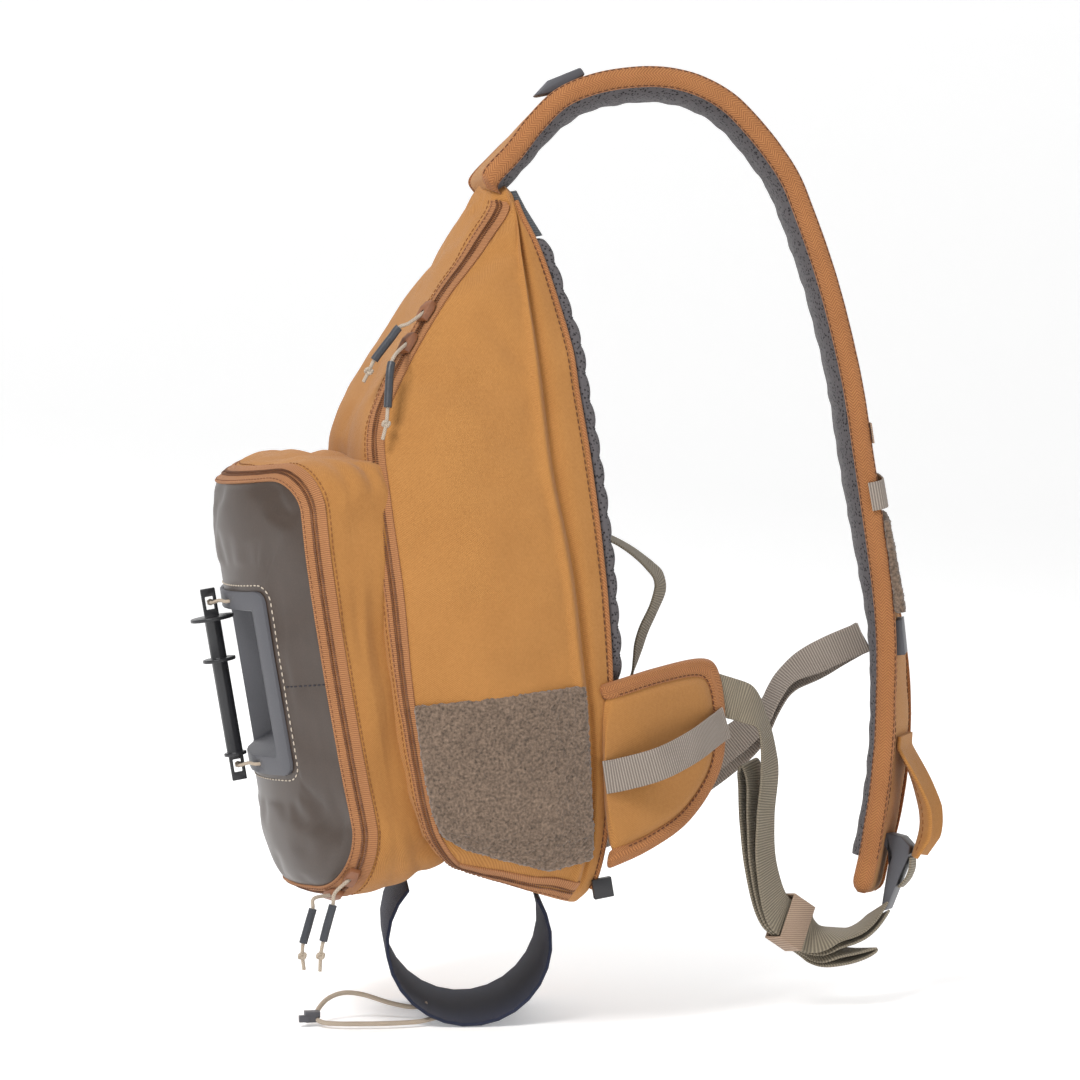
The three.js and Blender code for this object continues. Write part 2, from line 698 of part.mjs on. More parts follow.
// The room that the wing takes, with a clearance round it.
function wingSpace() {
  const rings = [
    [0.95, -GAP * 2],
    [-0.02, -GAP * 2],
    [-0.02, WING_THICK + 1],
    [0.95, WING_THICK + 2],
  ].map(([share, lift]) => wingRing(share, lift));
  return skinSolid(rings);
}
const WING_EDGE_SHARE = WING_BINDING / (WING_LENGTH * 0.55);
function waistWing() {
  const edge = WING_EDGE_SHARE + 0.012;
  const rings = [
    [0.8, 0],
    [edge, 0],
    [edge, WING_THICK - 2],
    [0.35, WING_THICK],
    [0.8, WING_THICK + 1],
  ].map(([share, lift]) => wingRing(share, lift));
  return skinSolid(rings).subtract(bodyForm(GAP));
}
function wingBinding() {
  const rings = WING_EDGE.map((corner) =>
    [
      [0, 0],
      [0, WING_THICK - 1],
      [WING_EDGE_SHARE, WING_THICK],
      [WING_EDGE_SHARE, 0],
    ].map(([share, lift]) => {
      const at = shrunk(corner, share);
      return wingPoint(at.along, at.up, lift);
    }),
  );
  return skinSolid(rings).subtract(bodyForm(GAP));
}

// Bands of webbing

// A flat band along rows of places and width directions.
function band(rows, width, thick, steps) {
  const places = new THREE.CatmullRomCurve3(rows.map((r) => r.at), false, 'centripetal');
  const sides = rows.map((r) => r.side.clone().normalize());
  const rings = [];
  for (let i = 0; i <= steps; i += 1) {
    const u = (i / steps) * (rows.length - 1);
    const low = Math.min(Math.floor(u), rows.length - 2);
    const at = places.getPoint(i / steps);
    const along = places.getTangent(i / steps);
    const side = sides[low].clone().lerp(sides[low + 1], u - low);
    side.addScaledVector(along, -side.dot(along)).normalize();
    const out = along.clone().cross(side);
    const corner = (a, o) => {
      return at.clone().addScaledVector(side, a * width).addScaledVector(out, o * thick);
    };
    rings.push([corner(-0.5, -0.5), corner(0.5, -0.5), corner(0.5, 0.5), corner(-0.5, 0.5)]);
  }
  return skinSolid(rings);
}

// Rows between two places: along is a share of the way, and swing, out and rise are shares of its span.
const HANG_COLUMNS = ['along', 'swing', 'out', 'rise', 'sideX', 'sideY', 'sideZ'];
function hang(from, to, rows) {
  const span = from.distanceTo(to);
  return rows.map((cells) => {
    const row = Object.fromEntries(cells.map((share, i) => [HANG_COLUMNS[i], share]));
    const offset = point(row.swing, row.out, row.rise).multiplyScalar(span);
    const side = point(row.sideX, row.sideY, row.sideZ);
    return { at: from.clone().lerp(to, row.along).add(offset), side };
  });
}

// The bag's frame: its own upright frame, leaned forward and set under the strap's root
const bag = new THREE.Group();
bag.position.set(-0.396 * STRAP_SPAN, 0, -0.108 * STRAP_DROP);
bag.rotation.y = -radians(BODY_LEAN_DEG);
bag.updateMatrixWorld(true);
const outside = (p) => p.clone().applyMatrix4(bag.matrixWorld);
const inside = (p) => p.clone().applyMatrix4(bag.matrixWorld.clone().invert());

// The shoulder strap's middle line, in shares of its span and drop, with its turn about the vertical:
// turn is a share of the whole strap's turn, and lower a share of the lower end's added turn.
const STRAP_COLUMNS = ['x', 'z', 'turn', 'lower'];
const STRAP_ROWS = [
  [-0.434, -0.103, 0, 0],
  [-0.392, -0.074, 0.35, 0],
  [-0.334, -0.041, 0.75, 0],
  [-0.224, 0.006, 1, 0],
  [-0.12, 0.022, 1, 0],
  [-0.034, 0.0275, 1, 0],
  [0.048, 0.0255, 1, 0],
  [0.136, 0.012, 1, 0],
  [0.204, -0.01, 1, 0],
  [0.26, -0.039, 1, 0],
  [0.334, -0.086, 1, 0],
  [0.384, -0.141, 1, 0],
  [0.444, -0.224, 1, 0],
  [0.504, -0.339, 1, 0],
  [0.538, -0.439, 1, 0],
  [0.584, -0.563, 1, 0.2],
  [0.616, -0.647, 1, 0.6],
  [0.628, -0.725, 1, 0.9],
  [0.624, -0.808, 1, 1],
  [0.604, -0.882, 1, 1],
  [0.572, -0.951, 1, 0.9],
  [0.556, -0.98, 1, 0.8],
].map((cells) => Object.fromEntries(cells.map((share, i) => [STRAP_COLUMNS[i], share])));
const strapLine = new THREE.CatmullRomCurve3(
  STRAP_ROWS.map((row) => point(row.x * STRAP_SPAN, 0, row.z * STRAP_DROP)),
);
const turnLine = new THREE.CatmullRomCurve3(
  STRAP_ROWS.map((row) => point(row.turn * STRAP_TURN_DEG + row.lower * STRAP_LOWER_TURN_DEG, 0, 0)),
);

// The strap's place, length direction, width direction and outer side at a share of its length.
function strapAt(share) {
  const u = strapLine.getUtoTmapping(share);
  const at = strapLine.getPoint(u);
  const along = strapLine.getTangent(u);
  const turn = radians(turnLine.getPoint(u).x);
  const side = point(Math.sin(turn), Math.cos(turn), 0);
  side.addScaledVector(along, -side.dot(along)).normalize();
  return { at, along, side, out: along.clone().cross(side) };
}

// Sweeps a section of across and out places, in millimetres, along part of the strap.
const STRAP_STEPS = 32;
const TAPER_FROM = 0.93;
const TAPER_TO = 0.8;
function alongStrap(section, first = 0, last = STRAP_STEPS, crossed = []) {
  const rings = [];
  for (let i = first; i <= last; i += 1) {
    const share = i / STRAP_STEPS;
    const { at, side, out } = strapAt(share);
    const narrow = mix(1, TAPER_TO, Math.max(0, (share - TAPER_FROM) / (1 - TAPER_FROM)));
    rings.push(
      section.map(([across, lift]) =>
        at.clone().addScaledVector(side, across * narrow).addScaledVector(out, lift),
      ),
    );
  }
  return skinSolid(rings, false, crossed);
}
const SHELL_HALF = STRAP_WIDTH / 2 - BINDING_WIDTH - GAP * 1.5;
const SHELL_EDGE = STRAP_THICK * 0.42;
const MESH_TOP = -SHELL_EDGE - GAP;
const strapShell = () =>
  alongStrap([
    [-SHELL_HALF, -SHELL_EDGE],
    [SHELL_HALF, -SHELL_EDGE],
    [SHELL_HALF, SHELL_EDGE],
    [SHELL_HALF * 0.5, STRAP_THICK * 0.5],
    [-SHELL_HALF * 0.5, STRAP_THICK * 0.5],
    [-SHELL_HALF, SHELL_EDGE],
  ]);
const strapMesh = () =>
  alongStrap(
    [
      [-SHELL_HALF, MESH_TOP],
      [-SHELL_HALF * 0.93, MESH_TOP - STRAP_MESH_THICK * 0.6],
      [-SHELL_HALF * 0.6, MESH_TOP - STRAP_MESH_THICK],
      [SHELL_HALF * 0.6, MESH_TOP - STRAP_MESH_THICK],
      [SHELL_HALF * 0.93, MESH_TOP - STRAP_MESH_THICK * 0.6],
      [SHELL_HALF, MESH_TOP],
    ],
    1,
    STRAP_STEPS - 1,
    [5],
  );
const strapBinding = (sign) => {
  const inner = sign * (STRAP_WIDTH / 2 - BINDING_WIDTH);
  const outer = sign * (STRAP_WIDTH / 2);
  return alongStrap([
    [inner, -BINDING_THICK / 2],
    [outer, -BINDING_THICK * 0.4],
    [outer, BINDING_THICK * 0.4],
    [inner, BINDING_THICK / 2],
  ]);
};

// The room that the strap's outer side takes, with a clearance.
const strapSpace = () => {
  const rim = STRAP_WIDTH / 2 + GAP;
  const inner = SHELL_HALF + GAP;
  const top = BINDING_THICK / 2 + GAP;
  return alongStrap([
    [-rim, 0],
    [rim, 0],
    [rim, top],
    [inner, top],
    [inner, SHELL_EDGE + GAP],
    [SHELL_HALF * 0.5, STRAP_THICK / 2 + GAP],
    [-SHELL_HALF * 0.5, STRAP_THICK / 2 + GAP],
    [-inner, SHELL_EDGE + GAP],
    [-inner, top],
    [-rim, top],
  ]);
};

// A flat shape drawn in the strap's length and outward directions, given a width across it.
function onStrap(share, across, width, corners) {
  const { at, along, side, out } = strapAt(share);
  const ring = (offset) =>
    corners.map(([length, lift]) =>
      at
        .clone()
        .addScaledVector(side, across + offset)
        .addScaledVector(along, length)
        .addScaledVector(out, lift),
    );
  return skinSolid([ring(-width / 2), ring(width / 2)]);
}
const pad = (length, low, thick) => [
  [-length / 2, low],
  [length / 2, low],
  [length / 2, low + thick],
  [-length / 2, low + thick],
];
const STRAP_FACE = BINDING_THICK / 2 + GAP;
const SHELL_FACE = STRAP_THICK * 0.4;
const HOOK_SHARE = 0.105;
const LABEL_SHARE = 0.58;
const LOOP_SHARE = 0.635;
const PILE_SHARE = 0.7;
const TAB_SHARE = 0.765;
const strapHook = () =>
  onStrap(HOOK_SHARE, -STRAP_WIDTH * 0.3, 11, [
    [14, SHELL_FACE],
    [14, STRAP_FACE + 3],
    [-8, STRAP_FACE + 7],
    [-20, STRAP_FACE + 4],
    [-18, STRAP_FACE + 2.4],
    [-6, SHELL_FACE],
  ]).subtract(strapSpace());
const sewnOn = (share, across, width, length, thick) =>
  onStrap(share, across, width, pad(length, SHELL_FACE, thick)).subtract(strapSpace());
const strapLabel = () => sewnOn(LABEL_SHARE, -STRAP_WIDTH * 0.42, 10, 13, 3.4);
const strapPile = () => sewnOn(PILE_SHARE, 0, STRAP_WIDTH * 0.96, 58, PILE_THICK * 1.6);
const strapTab = () => sewnOn(TAB_SHARE, -STRAP_WIDTH * 0.22, 22, 22, 6);
function strapLoop() {
  const { at, along, side, out } = strapAt(LOOP_SHARE);
  const half = STRAP_WIDTH / 2 + WEB_THICK / 2 + GAP * 2;
  const rows = [
    [-1, 0],
    [-1, 0.75],
    [-0.86, 1.35],
    [0, 1.6],
    [0.86, 1.35],
    [1, 0.75],
    [1, 0],
  ].map(([across, lift]) => ({
    at: at.clone().addScaledVector(side, across * half).addScaledVector(out, lift * STRAP_FACE),
    side: along,
  }));
  return band(rows, CROSS_WEB * 0.9, WEB_THICK, 14);
}

// The buckle at the strap's foot: a ladder plate with a long lever, under a cloth cover.
const BUCKLE_SHARE = 0.957;
const BUCKLE_WIDTH = 30;
const buckleFrame = strapAt(BUCKLE_SHARE);
const BUCKLE_LIFT = STRAP_FACE + 5;
const BUCKLE_FOOT = STRAP_THICK / 2 + GAP;
const buckle = () =>
  onStrap(BUCKLE_SHARE, 0, BUCKLE_WIDTH, [
    [-2, BUCKLE_LIFT],
    [-2, BUCKLE_FOOT],
    [-10, BUCKLE_FOOT],
    [-10, BUCKLE_LIFT + 4],
    [-5, BUCKLE_LIFT + 11],
    [2, BUCKLE_LIFT + 11],
    [12, BUCKLE_LIFT + 9],
    [38, BUCKLE_LIFT + 5],
    [39, BUCKLE_LIFT + 2],
    [12, BUCKLE_LIFT],
  ]);
const COVER_WIDTH = 46;
const COVER_THICK = 2.4;
function buckleCover() {
  const place = (share, lift) => {
    const { at, side, out } = strapAt(share);
    return { at: at.addScaledVector(out, lift), side };
  };
  const rows = [
    place(0.855, STRAP_FACE + COVER_THICK / 2),
    place(0.865, STRAP_FACE + COVER_THICK / 2),
    place(0.887, STRAP_FACE + 7),
    place(0.912, STRAP_FACE + 15),
    place(0.935, STRAP_FACE + 18.5),
    place(0.957, STRAP_FACE + 17.7),
  ];
  return band(rows, COVER_WIDTH, COVER_THICK, 8);
}

// Webbing from the wing's tip, down to the keeper and up to the buckle
const wingTip = outside(wingPoint(0.985, 0.75, WING_THICK * 0.5)).add(point(WEB_THICK * 3.2, 0, 0));
const buckleEntry = buckleFrame.at
  .clone()
  .addScaledVector(buckleFrame.out, BUCKLE_LIFT + 3)
  .addScaledVector(buckleFrame.along, 22);
const MAIN_WEB_ROWS = [
  [0, 0, 0, 0, 0.1, 0, 1],
  [0.083, 0, -0.016, 0.037, 0.1, 0.2, 1],
  [0.17, 0, -0.03, 0.045, 0.3, 0.8, 0.5],
  [0.226, 0, -0.025, -0.088, 0.64, 0.77, 0.1],
  [0.203, 0, -0.025, -0.272, 0.64, 0.77, 0],
  [0.211, 0, -0.025, -0.43, 0.66, 0.7, 0.1],
  [0.286, 0, -0.025, -0.532, 0.5, 0.4, 0.8],
  [0.38, 0, -0.025, -0.509, 0.5, 0.4, 0.8],
  [0.475, 0, -0.025, -0.487, 0.5, 0.4, 0.8],
  [0.6, 0, -0.04, -0.41, 0.1, 0.98, 0.2],
  [0.76, 0, -0.05, -0.29, 0.1, 0.98, 0],
  [0.9, 0, -0.03, -0.139, 0.2, 0.95, 0],
  [1, 0, 0, 0, 0.3, 0.94, 0],
];
const mainWebRows = hang(wingTip, buckleEntry, MAIN_WEB_ROWS);
const KEEPER_ROW = 7;
const LAYER = WEB_THICK + GAP * 3;
const WEB_END = 10.95;

// The webbing's line: a place at a row number, moved off it by a number of layers.
const webLine = new THREE.CatmullRomCurve3(mainWebRows.map((row) => row.at), false, 'centripetal');
function onWeb(place, layers) {
  const low = Math.min(Math.floor(place), mainWebRows.length - 2);
  const share = place / (mainWebRows.length - 1);
  const along = webLine.getTangent(share);
  const side = mainWebRows[low].side.clone().lerp(mainWebRows[low + 1].side, place - low);
  side.addScaledVector(along, -side.dot(along)).normalize();
  const out = along.clone().cross(side);
  return { at: webLine.getPoint(share).addScaledVector(out, layers * LAYER), along, side, out };
}

// A band that follows the webbing's line through rows of place and layers.
function layered(rows, steps) {
  const plan = new THREE.CatmullRomCurve3(rows.map(([place, layers]) => point(place, layers, 0)));
  const stations = [];
  for (let i = 0; i <= steps; i += 1) {
    const at = plan.getPoint(i / steps);
    stations.push(onWeb(at.x, at.y));
  }
  return stations;
}
function layeredBand(rows, steps) {
  const stations = layered(rows, steps);
  return skinSolid(
    stations.map(({ at, side }, i) => {
      const before = stations[Math.max(i - 1, 0)].at;
      const after = stations[Math.min(i + 1, steps)].at;
      const out = after.clone().sub(before).cross(side).normalize();
      return [
        [-0.5, -0.5],
        [0.5, -0.5],
        [0.5, 0.5],
        [-0.5, 0.5],
      ].map(([across, lift]) =>
        at.clone().addScaledVector(side, across * NARROW_WEB).addScaledVector(out, lift * WEB_THICK),
      );
    }),
  );
}

// The long end folded up behind the hanging webbing, and its tail folded beyond the keeper.
const STOWED_ROWS = [
  [6.95, -1],
  [6.5, -1.1],
  [6, -1.3],
  [5.5, -1.6],
  [5, -1.9],
  [4.5, -2.3],
  [4, -2.8],
  [3.5, -3.6],
  [3.1, -4.6],
  [2.94, -5.1],
  [2.9, -5.7],
  [2.94, -6.3],
  [3.1, -6.6],
  [3.5, -5.9],
  [4, -4.9],
  [4.5, -4],
  [5, -3.3],
  [5.5, -2.9],
  [6, -2.5],
  [6.5, -2.2],
  [6.95, -2],
];
const RETURN_ROWS = [
  [7.05, -1],
  [7.5, -1.1],
  [8, -1.45],
  [8.5, -2.25],
  [9, -2],
  [10, -1.7],
  [10.8, -1.5],
];
const TAIL_ROWS = [
  [7.05, -2],
  [7.5, -2.1],
  [8, -3.1],
  [8.5, -5.2],
  [9, -4.7],
  [9.5, -4.8],
  [9.9, -5.5],
  [9.98, -6.1],
  [9.9, -6.7],
  [9.5, -6.9],
  [9, -6.9],
  [8.5, -6.5],
  [8, -4.2],
  [7.5, -3.1],
  [7.05, -3],
];
const KEEPER_LENGTH = 20;
const KEEPER_WALL = 1.2;
const KEEPER_ROOM = 1.6;
const KEEPER_LAYERS = 3;
function keeper() {
  const { at, along, side, out } = onWeb(KEEPER_ROW, 0);
  const near = WEB_THICK / 2 + KEEPER_ROOM;
  const far = -KEEPER_LAYERS * LAYER - near;
  const ring = (share, wall) =>
    [
      [-1, far - wall],
      [1, far - wall],
      [1, near + wall],
      [-1, near + wall],
    ].map(([across, lift]) =>
      at
        .clone()
        .addScaledVector(along, (share * KEEPER_LENGTH) / 2)
        .addScaledVector(side, across * (NARROW_WEB / 2 + KEEPER_ROOM + wall))
        .addScaledVector(out, lift),
    );
  const bore = skinSolid([ring(-1.4, 0), ring(1.4, 0)]);
  return skinSolid([ring(-1, KEEPER_WALL), ring(1, KEEPER_WALL)]).subtract(bore);
}

// The webbing's turn over the buckle, under the edge of the cover.
function buckleWrap() {
  const rows = [
    [2, 12.1],
    [8, 13.4],
    [15, 12.6],
    [20, 10.2],
    [22, 8.9],
  ].map(([length, lift]) => ({
    at: buckleFrame.at
      .clone()
      .addScaledVector(buckleFrame.along, length)
      .addScaledVector(buckleFrame.out, BUCKLE_LIFT + lift),
    side: buckleFrame.side,
  }));
  return band(rows, NARROW_WEB, WEB_THICK, 8);
}

// Two layers of webbing from the strap, across behind the wing to the bag's foot
const crossFrame = strapAt(TAB_SHARE);
const CROSS_CLEAR = 4.2;
const crossStart = (layer) =>
  crossFrame.at
    .clone()
    .addScaledVector(crossFrame.out, MESH_TOP - STRAP_MESH_THICK - CROSS_CLEAR + layer);
const crossEnd = outside(point(-0.28 * BODY_DEPTH, 0.2 * BODY_HALF, -0.945 * BODY_HEIGHT));
const CROSS_ROWS = [
  [0, 0, 0, 0, -0.4, 0.1, 0.9],
  [0.12, 0, 0, 0.012, -0.4, 0.2, 0.88],
  [0.241, 0, 0, 0.01, -0.2, 0.95, 0.3],
  [0.317, 0, 0, -0.055, 0.3, 0.5, 0.8],
  [0.42, 0, 0, -0.078, 0.4, 0, 0.9],
  [0.548, 0, 0, -0.09, 0.4, 0, 0.9],
  [0.719, 0, 0, -0.087, 0.3, 0, 0.9],
  [0.869, 0, 0, -0.06, 0.2, 0, 0.95],
  [1, 0, 0, 0, 0.1, 0, 1],
];
function crossWebbing(layer) {
  const shift = layer * 3.4;
  const rows = hang(crossStart(layer), crossEnd, CROSS_ROWS);
  rows.forEach((row, i) => {
    row.at.y += shift;
    row.at.z -= layer * 5 * Math.sin((Math.PI * i) / (rows.length - 1));
  });
  return band(rows, CROSS_WEB, WEB_THICK, 30).subtract(bodyForm(GAP, outside));
}

// The loop of webbing on the wearer's side, from the pad's middle to its foot
const BACK_LOOP_TOP = -0.51;
const BACK_LOOP_FOOT = -0.82;
const BACK_LOOP_Y = -0.3 * BODY_HALF;
function backLoop() {
  const end = (share) => {
    const { x } = bodyBackAt(share * BODY_HEIGHT);
    const lift = PAD_THICK * 1.08 + WEB_THICK / 2 + GAP * 1.2;
    return point(x + lift, BACK_LOOP_Y, share * BODY_HEIGHT);
  };
  const rows = hang(end(BACK_LOOP_TOP), end(BACK_LOOP_FOOT), [
    [-0.14, 0, 0, 0, 0, 1, 0],
    [-0.02, 0, 0, 0, 0, 1, 0],
    [0.02, 0.08, 0, 0, 0, 1, 0.2],
    [0.15, 0.24, 0.04, 0, 0.2, 0.9, 0.2],
    [0.27, 0.32, 0.05, 0, 0.5, 0.85, 0],
    [0.5, 0.22, 0.05, 0, 0.5, 0.85, 0],
    [0.68, 0.16, 0.03, 0, 0.2, 0.9, 0],
    [0.9, 0.08, 0, 0, 0, 1, 0],
    [1, 0, 0, 0, 0, 1, 0],
    [1.14, 0, 0, 0, 0, 1, 0],
  ]);
  return band(rows, NARROW_WEB, WEB_THICK, 26);
}

// The loop for gear along the wing's outer face, sewn down at its root and round the wing's tip
function gearLoop() {
  const lift = WING_THICK + 1 + WEB_THICK / 2 + GAP;
  const rows = [
    [0.02, 0.5, -0.3],
    [0.09, 0.5, 1.5],
    [0.35, 0.52, 13],
    [0.62, 0.56, 13],
    [0.84, 0.6, 5],
    [0.92, 0.61, 0],
    [0.965, 0.62, -0.9],
  ].map(([along, up, bow]) => ({ at: wingPoint(along, up, lift + bow), side: point(0, 0, 1) }));
  return band(rows, CROSS_WEB, WEB_THICK, 18).subtract(bodyForm(GAP + PILE_THICK + GAP));
}

// The open sling for a bottle under the bag
const HOLDER_X = -0.714;
const HOLDER_FROM = 128;
const HOLDER_TO = 384;
const HOLDER_STEPS = 20;
const holderMiddle = point(
  HOLDER_X * BODY_DEPTH,
  0,
  mix(BODY_ROWS.at(-1).frontZ, BODY_ROWS.at(-1).backZ, 0.2) * BODY_HEIGHT - HOLDER_RADIUS + 2,
);
// A place on the sling, turned with it about the vertical.
function onHolder(x, y, z) {
  const turn = radians(HOLDER_TURN_DEG);
  const across = x * Math.cos(turn) + y * Math.sin(turn);
  return holderMiddle.clone().add(point(across, y * Math.cos(turn) - x * Math.sin(turn), z));
}
function bottleHolder() {
  const rings = [];
  const half = HOLDER_WIDTH / 2;
  for (let i = 0; i <= HOLDER_STEPS; i += 1) {
    const angle = radians(mix(HOLDER_FROM, HOLDER_TO, i / HOLDER_STEPS));
    const corner = (radius, y) => onHolder(radius * Math.cos(angle), y, radius * Math.sin(angle));
    const outer = HOLDER_RADIUS + HOLDER_WALL;
    rings.push([
      corner(HOLDER_RADIUS, -half),
      corner(outer, -half),
      corner(outer, half),
      corner(HOLDER_RADIUS, half),
    ]);
  }
  return skinSolid(rings).subtract(bodyForm(GAP));
}

// Chosen points of the free cords, in millimetres: the elastic under the sling, and the zips' pulls
const SHOCK_ROUTE = [
  [-149, -20, -558.5], [-158, -19, -560.5], [-172, -15, -558], [-188, -11, -553],
  [-200, -11, -551.5], [-210, -14, -554], [-217, -20, -559], [-220, -28, -563.5],
  [-217, -37, -565], [-209, -43, -565], [-198, -46, -565], [-184, -48, -565],
  [-170, -48, -565], [-158, -46, -564.8], [-147, -43, -563.2],
];
const UPPER_PULL_ROUTE = [
  [-168, -66, -137.5], [-174, -66, -140], [-179, -65, -146.5],
  [-184, -64, -153], [-189, -63, -160], [-192, -63, -166], [-195.5, -63, -173],
];
const LOWER_PULL_ROUTE = [
  [-178.5, -79, -156], [-181.5, -82, -161], [-183, -84, -168],
  [-184, -86, -178], [-185, -88, -188], [-186, -89, -197], [-188.5, -90, -207],
];
const NEAR_POCKET_PULL_ROUTE = [
  [-228, -74, -483], [-229, -75, -489], [-231, -75, -496],
  [-233, -75, -503], [-235, -75, -510], [-235.5, -75, -517], [-234.5, -75, -526],
];
const SIDE_POCKET_PULL_ROUTE = [
  [-217.5, -88, -478], [-219, -89, -485], [-221, -89, -492],
  [-223, -89, -499], [-225, -89, -507], [-226.5, -89, -515], [-227, -89, -525],
];
const SHOCK_STEPS = 24;
const places = (route) => route.map(([x, y, z]) => point(x, y, z));

const PULL_SLEEVE = 5;
const SLEEVE_STEPS = 4;
const SLEEVE_FROM = 0.3;
const SLEEVE_TO = 0.7;
const PULL_STEPS = 14;
// A pull's cord, with the knot that stops its sleeve.
function pullCord(route) {
  return tube(route, THIN_CORD, PULL_STEPS).add(knot(route.at(-2), THIN_CORD * 1.2));
}
// The sleeve round the straight middle of a pull's cord, as a wall swept round the cord.
function pullSleeve(route) {
  const path = new THREE.CatmullRomCurve3(route, false, 'centripetal');
  const frames = [];
  for (let i = 0; i <= SLEEVE_STEPS; i += 1) {
    const t = mix(SLEEVE_FROM, SLEEVE_TO, i / SLEEVE_STEPS);
    const along = path.getTangent(t);
    const across = along.clone().cross(point(0, 1, 0)).normalize();
    frames.push({ at: path.getPoint(t), across, out: across.clone().cross(along) });
  }
  const sides = 8;
  const walls = [];
  for (let k = 0; k < sides; k += 1) {
    const angle = (k * 2 * Math.PI) / sides;
    const line = (radius) =>
      frames.map(({ at, across, out }) =>
        at
          .clone()
          .addScaledVector(across, radius * Math.cos(angle))
          .addScaledVector(out, radius * Math.sin(angle)),
      );
    walls.push([...line(PULL_SLEEVE / 2), ...line(THIN_CORD / 2 + GAP).reverse()]);
  }
  return skinSolid(walls, true);
}

// The room that the sling takes below the bag, with a clearance.
function holderSpace() {
  const radius = (HOLDER_RADIUS + HOLDER_WALL + GAP) / Math.cos(Math.PI / HOLDER_STEPS);
  const ring = (y) => {
    const points = [];
    for (let i = 0; i < HOLDER_STEPS; i += 1) {
      const angle = (i * 2 * Math.PI) / HOLDER_STEPS;
      points.push(outside(onHolder(radius * Math.cos(angle), y, radius * Math.sin(angle))));
    }
    return points;
  };
  return skinSolid([ring(-HOLDER_WIDTH / 2 - GAP), ring(HOLDER_WIDTH / 2 + GAP)]);
}

// The hook that gathers the elastic's far end.
function cordHook() {
  const at = places(SHOCK_ROUTE)[7];
  const body = block(at.clone().add(point(-2.5, 0, 1)), 9, 8, 6.5);
  const beak = block(at.clone().add(point(-8, -3, 0.2)), 6, 4, 4);
  return body.add(beak).subtract(tube(places(SHOCK_ROUTE), SHOCK_CORD + GAP * 2, SHOCK_STEPS));
}

// A zip's slider with its pull tab, on the coil at a place along the zip's pairs.
const SLIDER_LENGTH = 13;
const SLIDER_WIDTH = 9;
const SLIDER_THICK = 4.4;
function sliderFrame(pairs, place) {
  const low = Math.floor(place);
  const next = (low + 1) % pairs.length;
  const left = pairs[low][0].clone().lerp(pairs[next][0], place - low);
  const right = pairs[low][1].clone().lerp(pairs[next][1], place - low);
  const middles = [low, next].map((i) => pairs[i][0].clone().add(pairs[i][1]).multiplyScalar(0.5));
  const along = middles[1].clone().sub(middles[0]).normalize();
  const across = right.clone().sub(left).normalize();
  const out = across.clone().cross(along).normalize();
  const seat = ZIP_LOW + GAP + TAPE_THICK + COIL_RISE;
  const at = left.add(right).multiplyScalar(0.5).addScaledVector(out, seat);
  return { at, along, across, out };
}
function slider({ at, along, across, out }, route) {
  const ring = (share, wide, high) =>
    [
      [-1, 0],
      [1, 0],
      [0.8, high],
      [-0.8, high],
    ].map(([side, lift]) =>
      at
        .clone()
        .addScaledVector(along, share * SLIDER_LENGTH)
        .addScaledVector(across, (side * wide * SLIDER_WIDTH) / 2)
        .addScaledVector(out, lift * SLIDER_THICK),
    );
  const bore = tube(route.map(inside), THIN_CORD + GAP * 2, PULL_STEPS);
  return skinSolid([ring(-0.5, 0.7, 0.8), ring(-0.15, 1, 1), ring(0.5, 0.9, 0.9)]).subtract(bore);
}
const pullRoute = ({ at, out }, route) => [
  outside(at.clone().addScaledVector(out, SLIDER_THICK * 0.55)),
  ...places(route),
];

// A small dark tab at the foot of the near back corner.
function footTab() {
  const foot = halfLevel(BODY_ROWS.at(-2))[FOLD_INDEX + 1];
  return block(foot.clone().add(point(4, -2, -4)), 12, 5, 12).subtract(bodyForm(GAP));
}

// Finishes
const CANVAS = { color: 0xc48742, roughness: 0.85 };
const TAPE = { color: 0xa9693a, roughness: 0.8 };
const MESH = { color: 0x5b5560, roughness: 0.95 };
const LEATHERY = { color: 0x5f5449, roughness: 0.45 };
const SLATE = { color: 0x5a5f66, roughness: 0.55 };
const BLACK = { color: 0x232427, roughness: 0.4 };
const PILE = { color: 0x6e6154, roughness: 1 };
const OLIVE = { color: 0x6b6a5c, roughness: 0.85 };
const PALE_WEB = { color: 0xa9a399, roughness: 0.85 };
const CORD = { color: 0xb5a48c, roughness: 0.8 };
const NAVY = { color: 0x23283a, roughness: 0.8 };

const part = new THREE.Group();
part.add(bag);
function put(group, name, solid, finish) {
  const material = new THREE.MeshStandardMaterial({ metalness: 0, ...finish });
  const mesh = new THREE.Mesh(toGeometry(solid), material);
  mesh.name = name;
  group.add(mesh);
}

put(bag, 'main_shell', mainShell(), CANVAS);
put(bag, 'main_zip', zipOn(mainZip).subtract(bodyForm(GAP)), TAPE);
put(bag, 'back_pad', backPad(), MESH);
put(bag, 'pad_cap', padCap(), SLATE);
put(bag, 'front_pocket', frontPocket(), CANVAS);
put(bag, 'pocket_zip', zipOn(pocketZip, true), TAPE);
const tieHoles = drill(UPPER_HOLE).add(drill(LOWER_HOLE));
put(bag, 'front_panel', frontPanel().subtract(tieHoles), LEATHERY);
put(bag, 'tippet_plate', tippetPlate().subtract(tieHoles), SLATE);
put(bag, 'tippet_bar', tippetBar(), BLACK);
put(bag, 'bar_tie_upper', tie(UPPER_HOLE, EYE_TOP - EYELET_HEIGHT / 2), CORD);
put(bag, 'bar_tie_lower', tie(LOWER_HOLE, EYE_FOOT + EYELET_HEIGHT / 2), CORD);
put(bag, 'pile_patch', pilePatch(), PILE);
put(bag, 'waist_wing', waistWing(), CANVAS);
put(bag, 'wing_binding', wingBinding(), CANVAS);
put(bag, 'gear_loop', gearLoop(), PALE_WEB);
put(bag, 'back_loop', backLoop(), OLIVE);
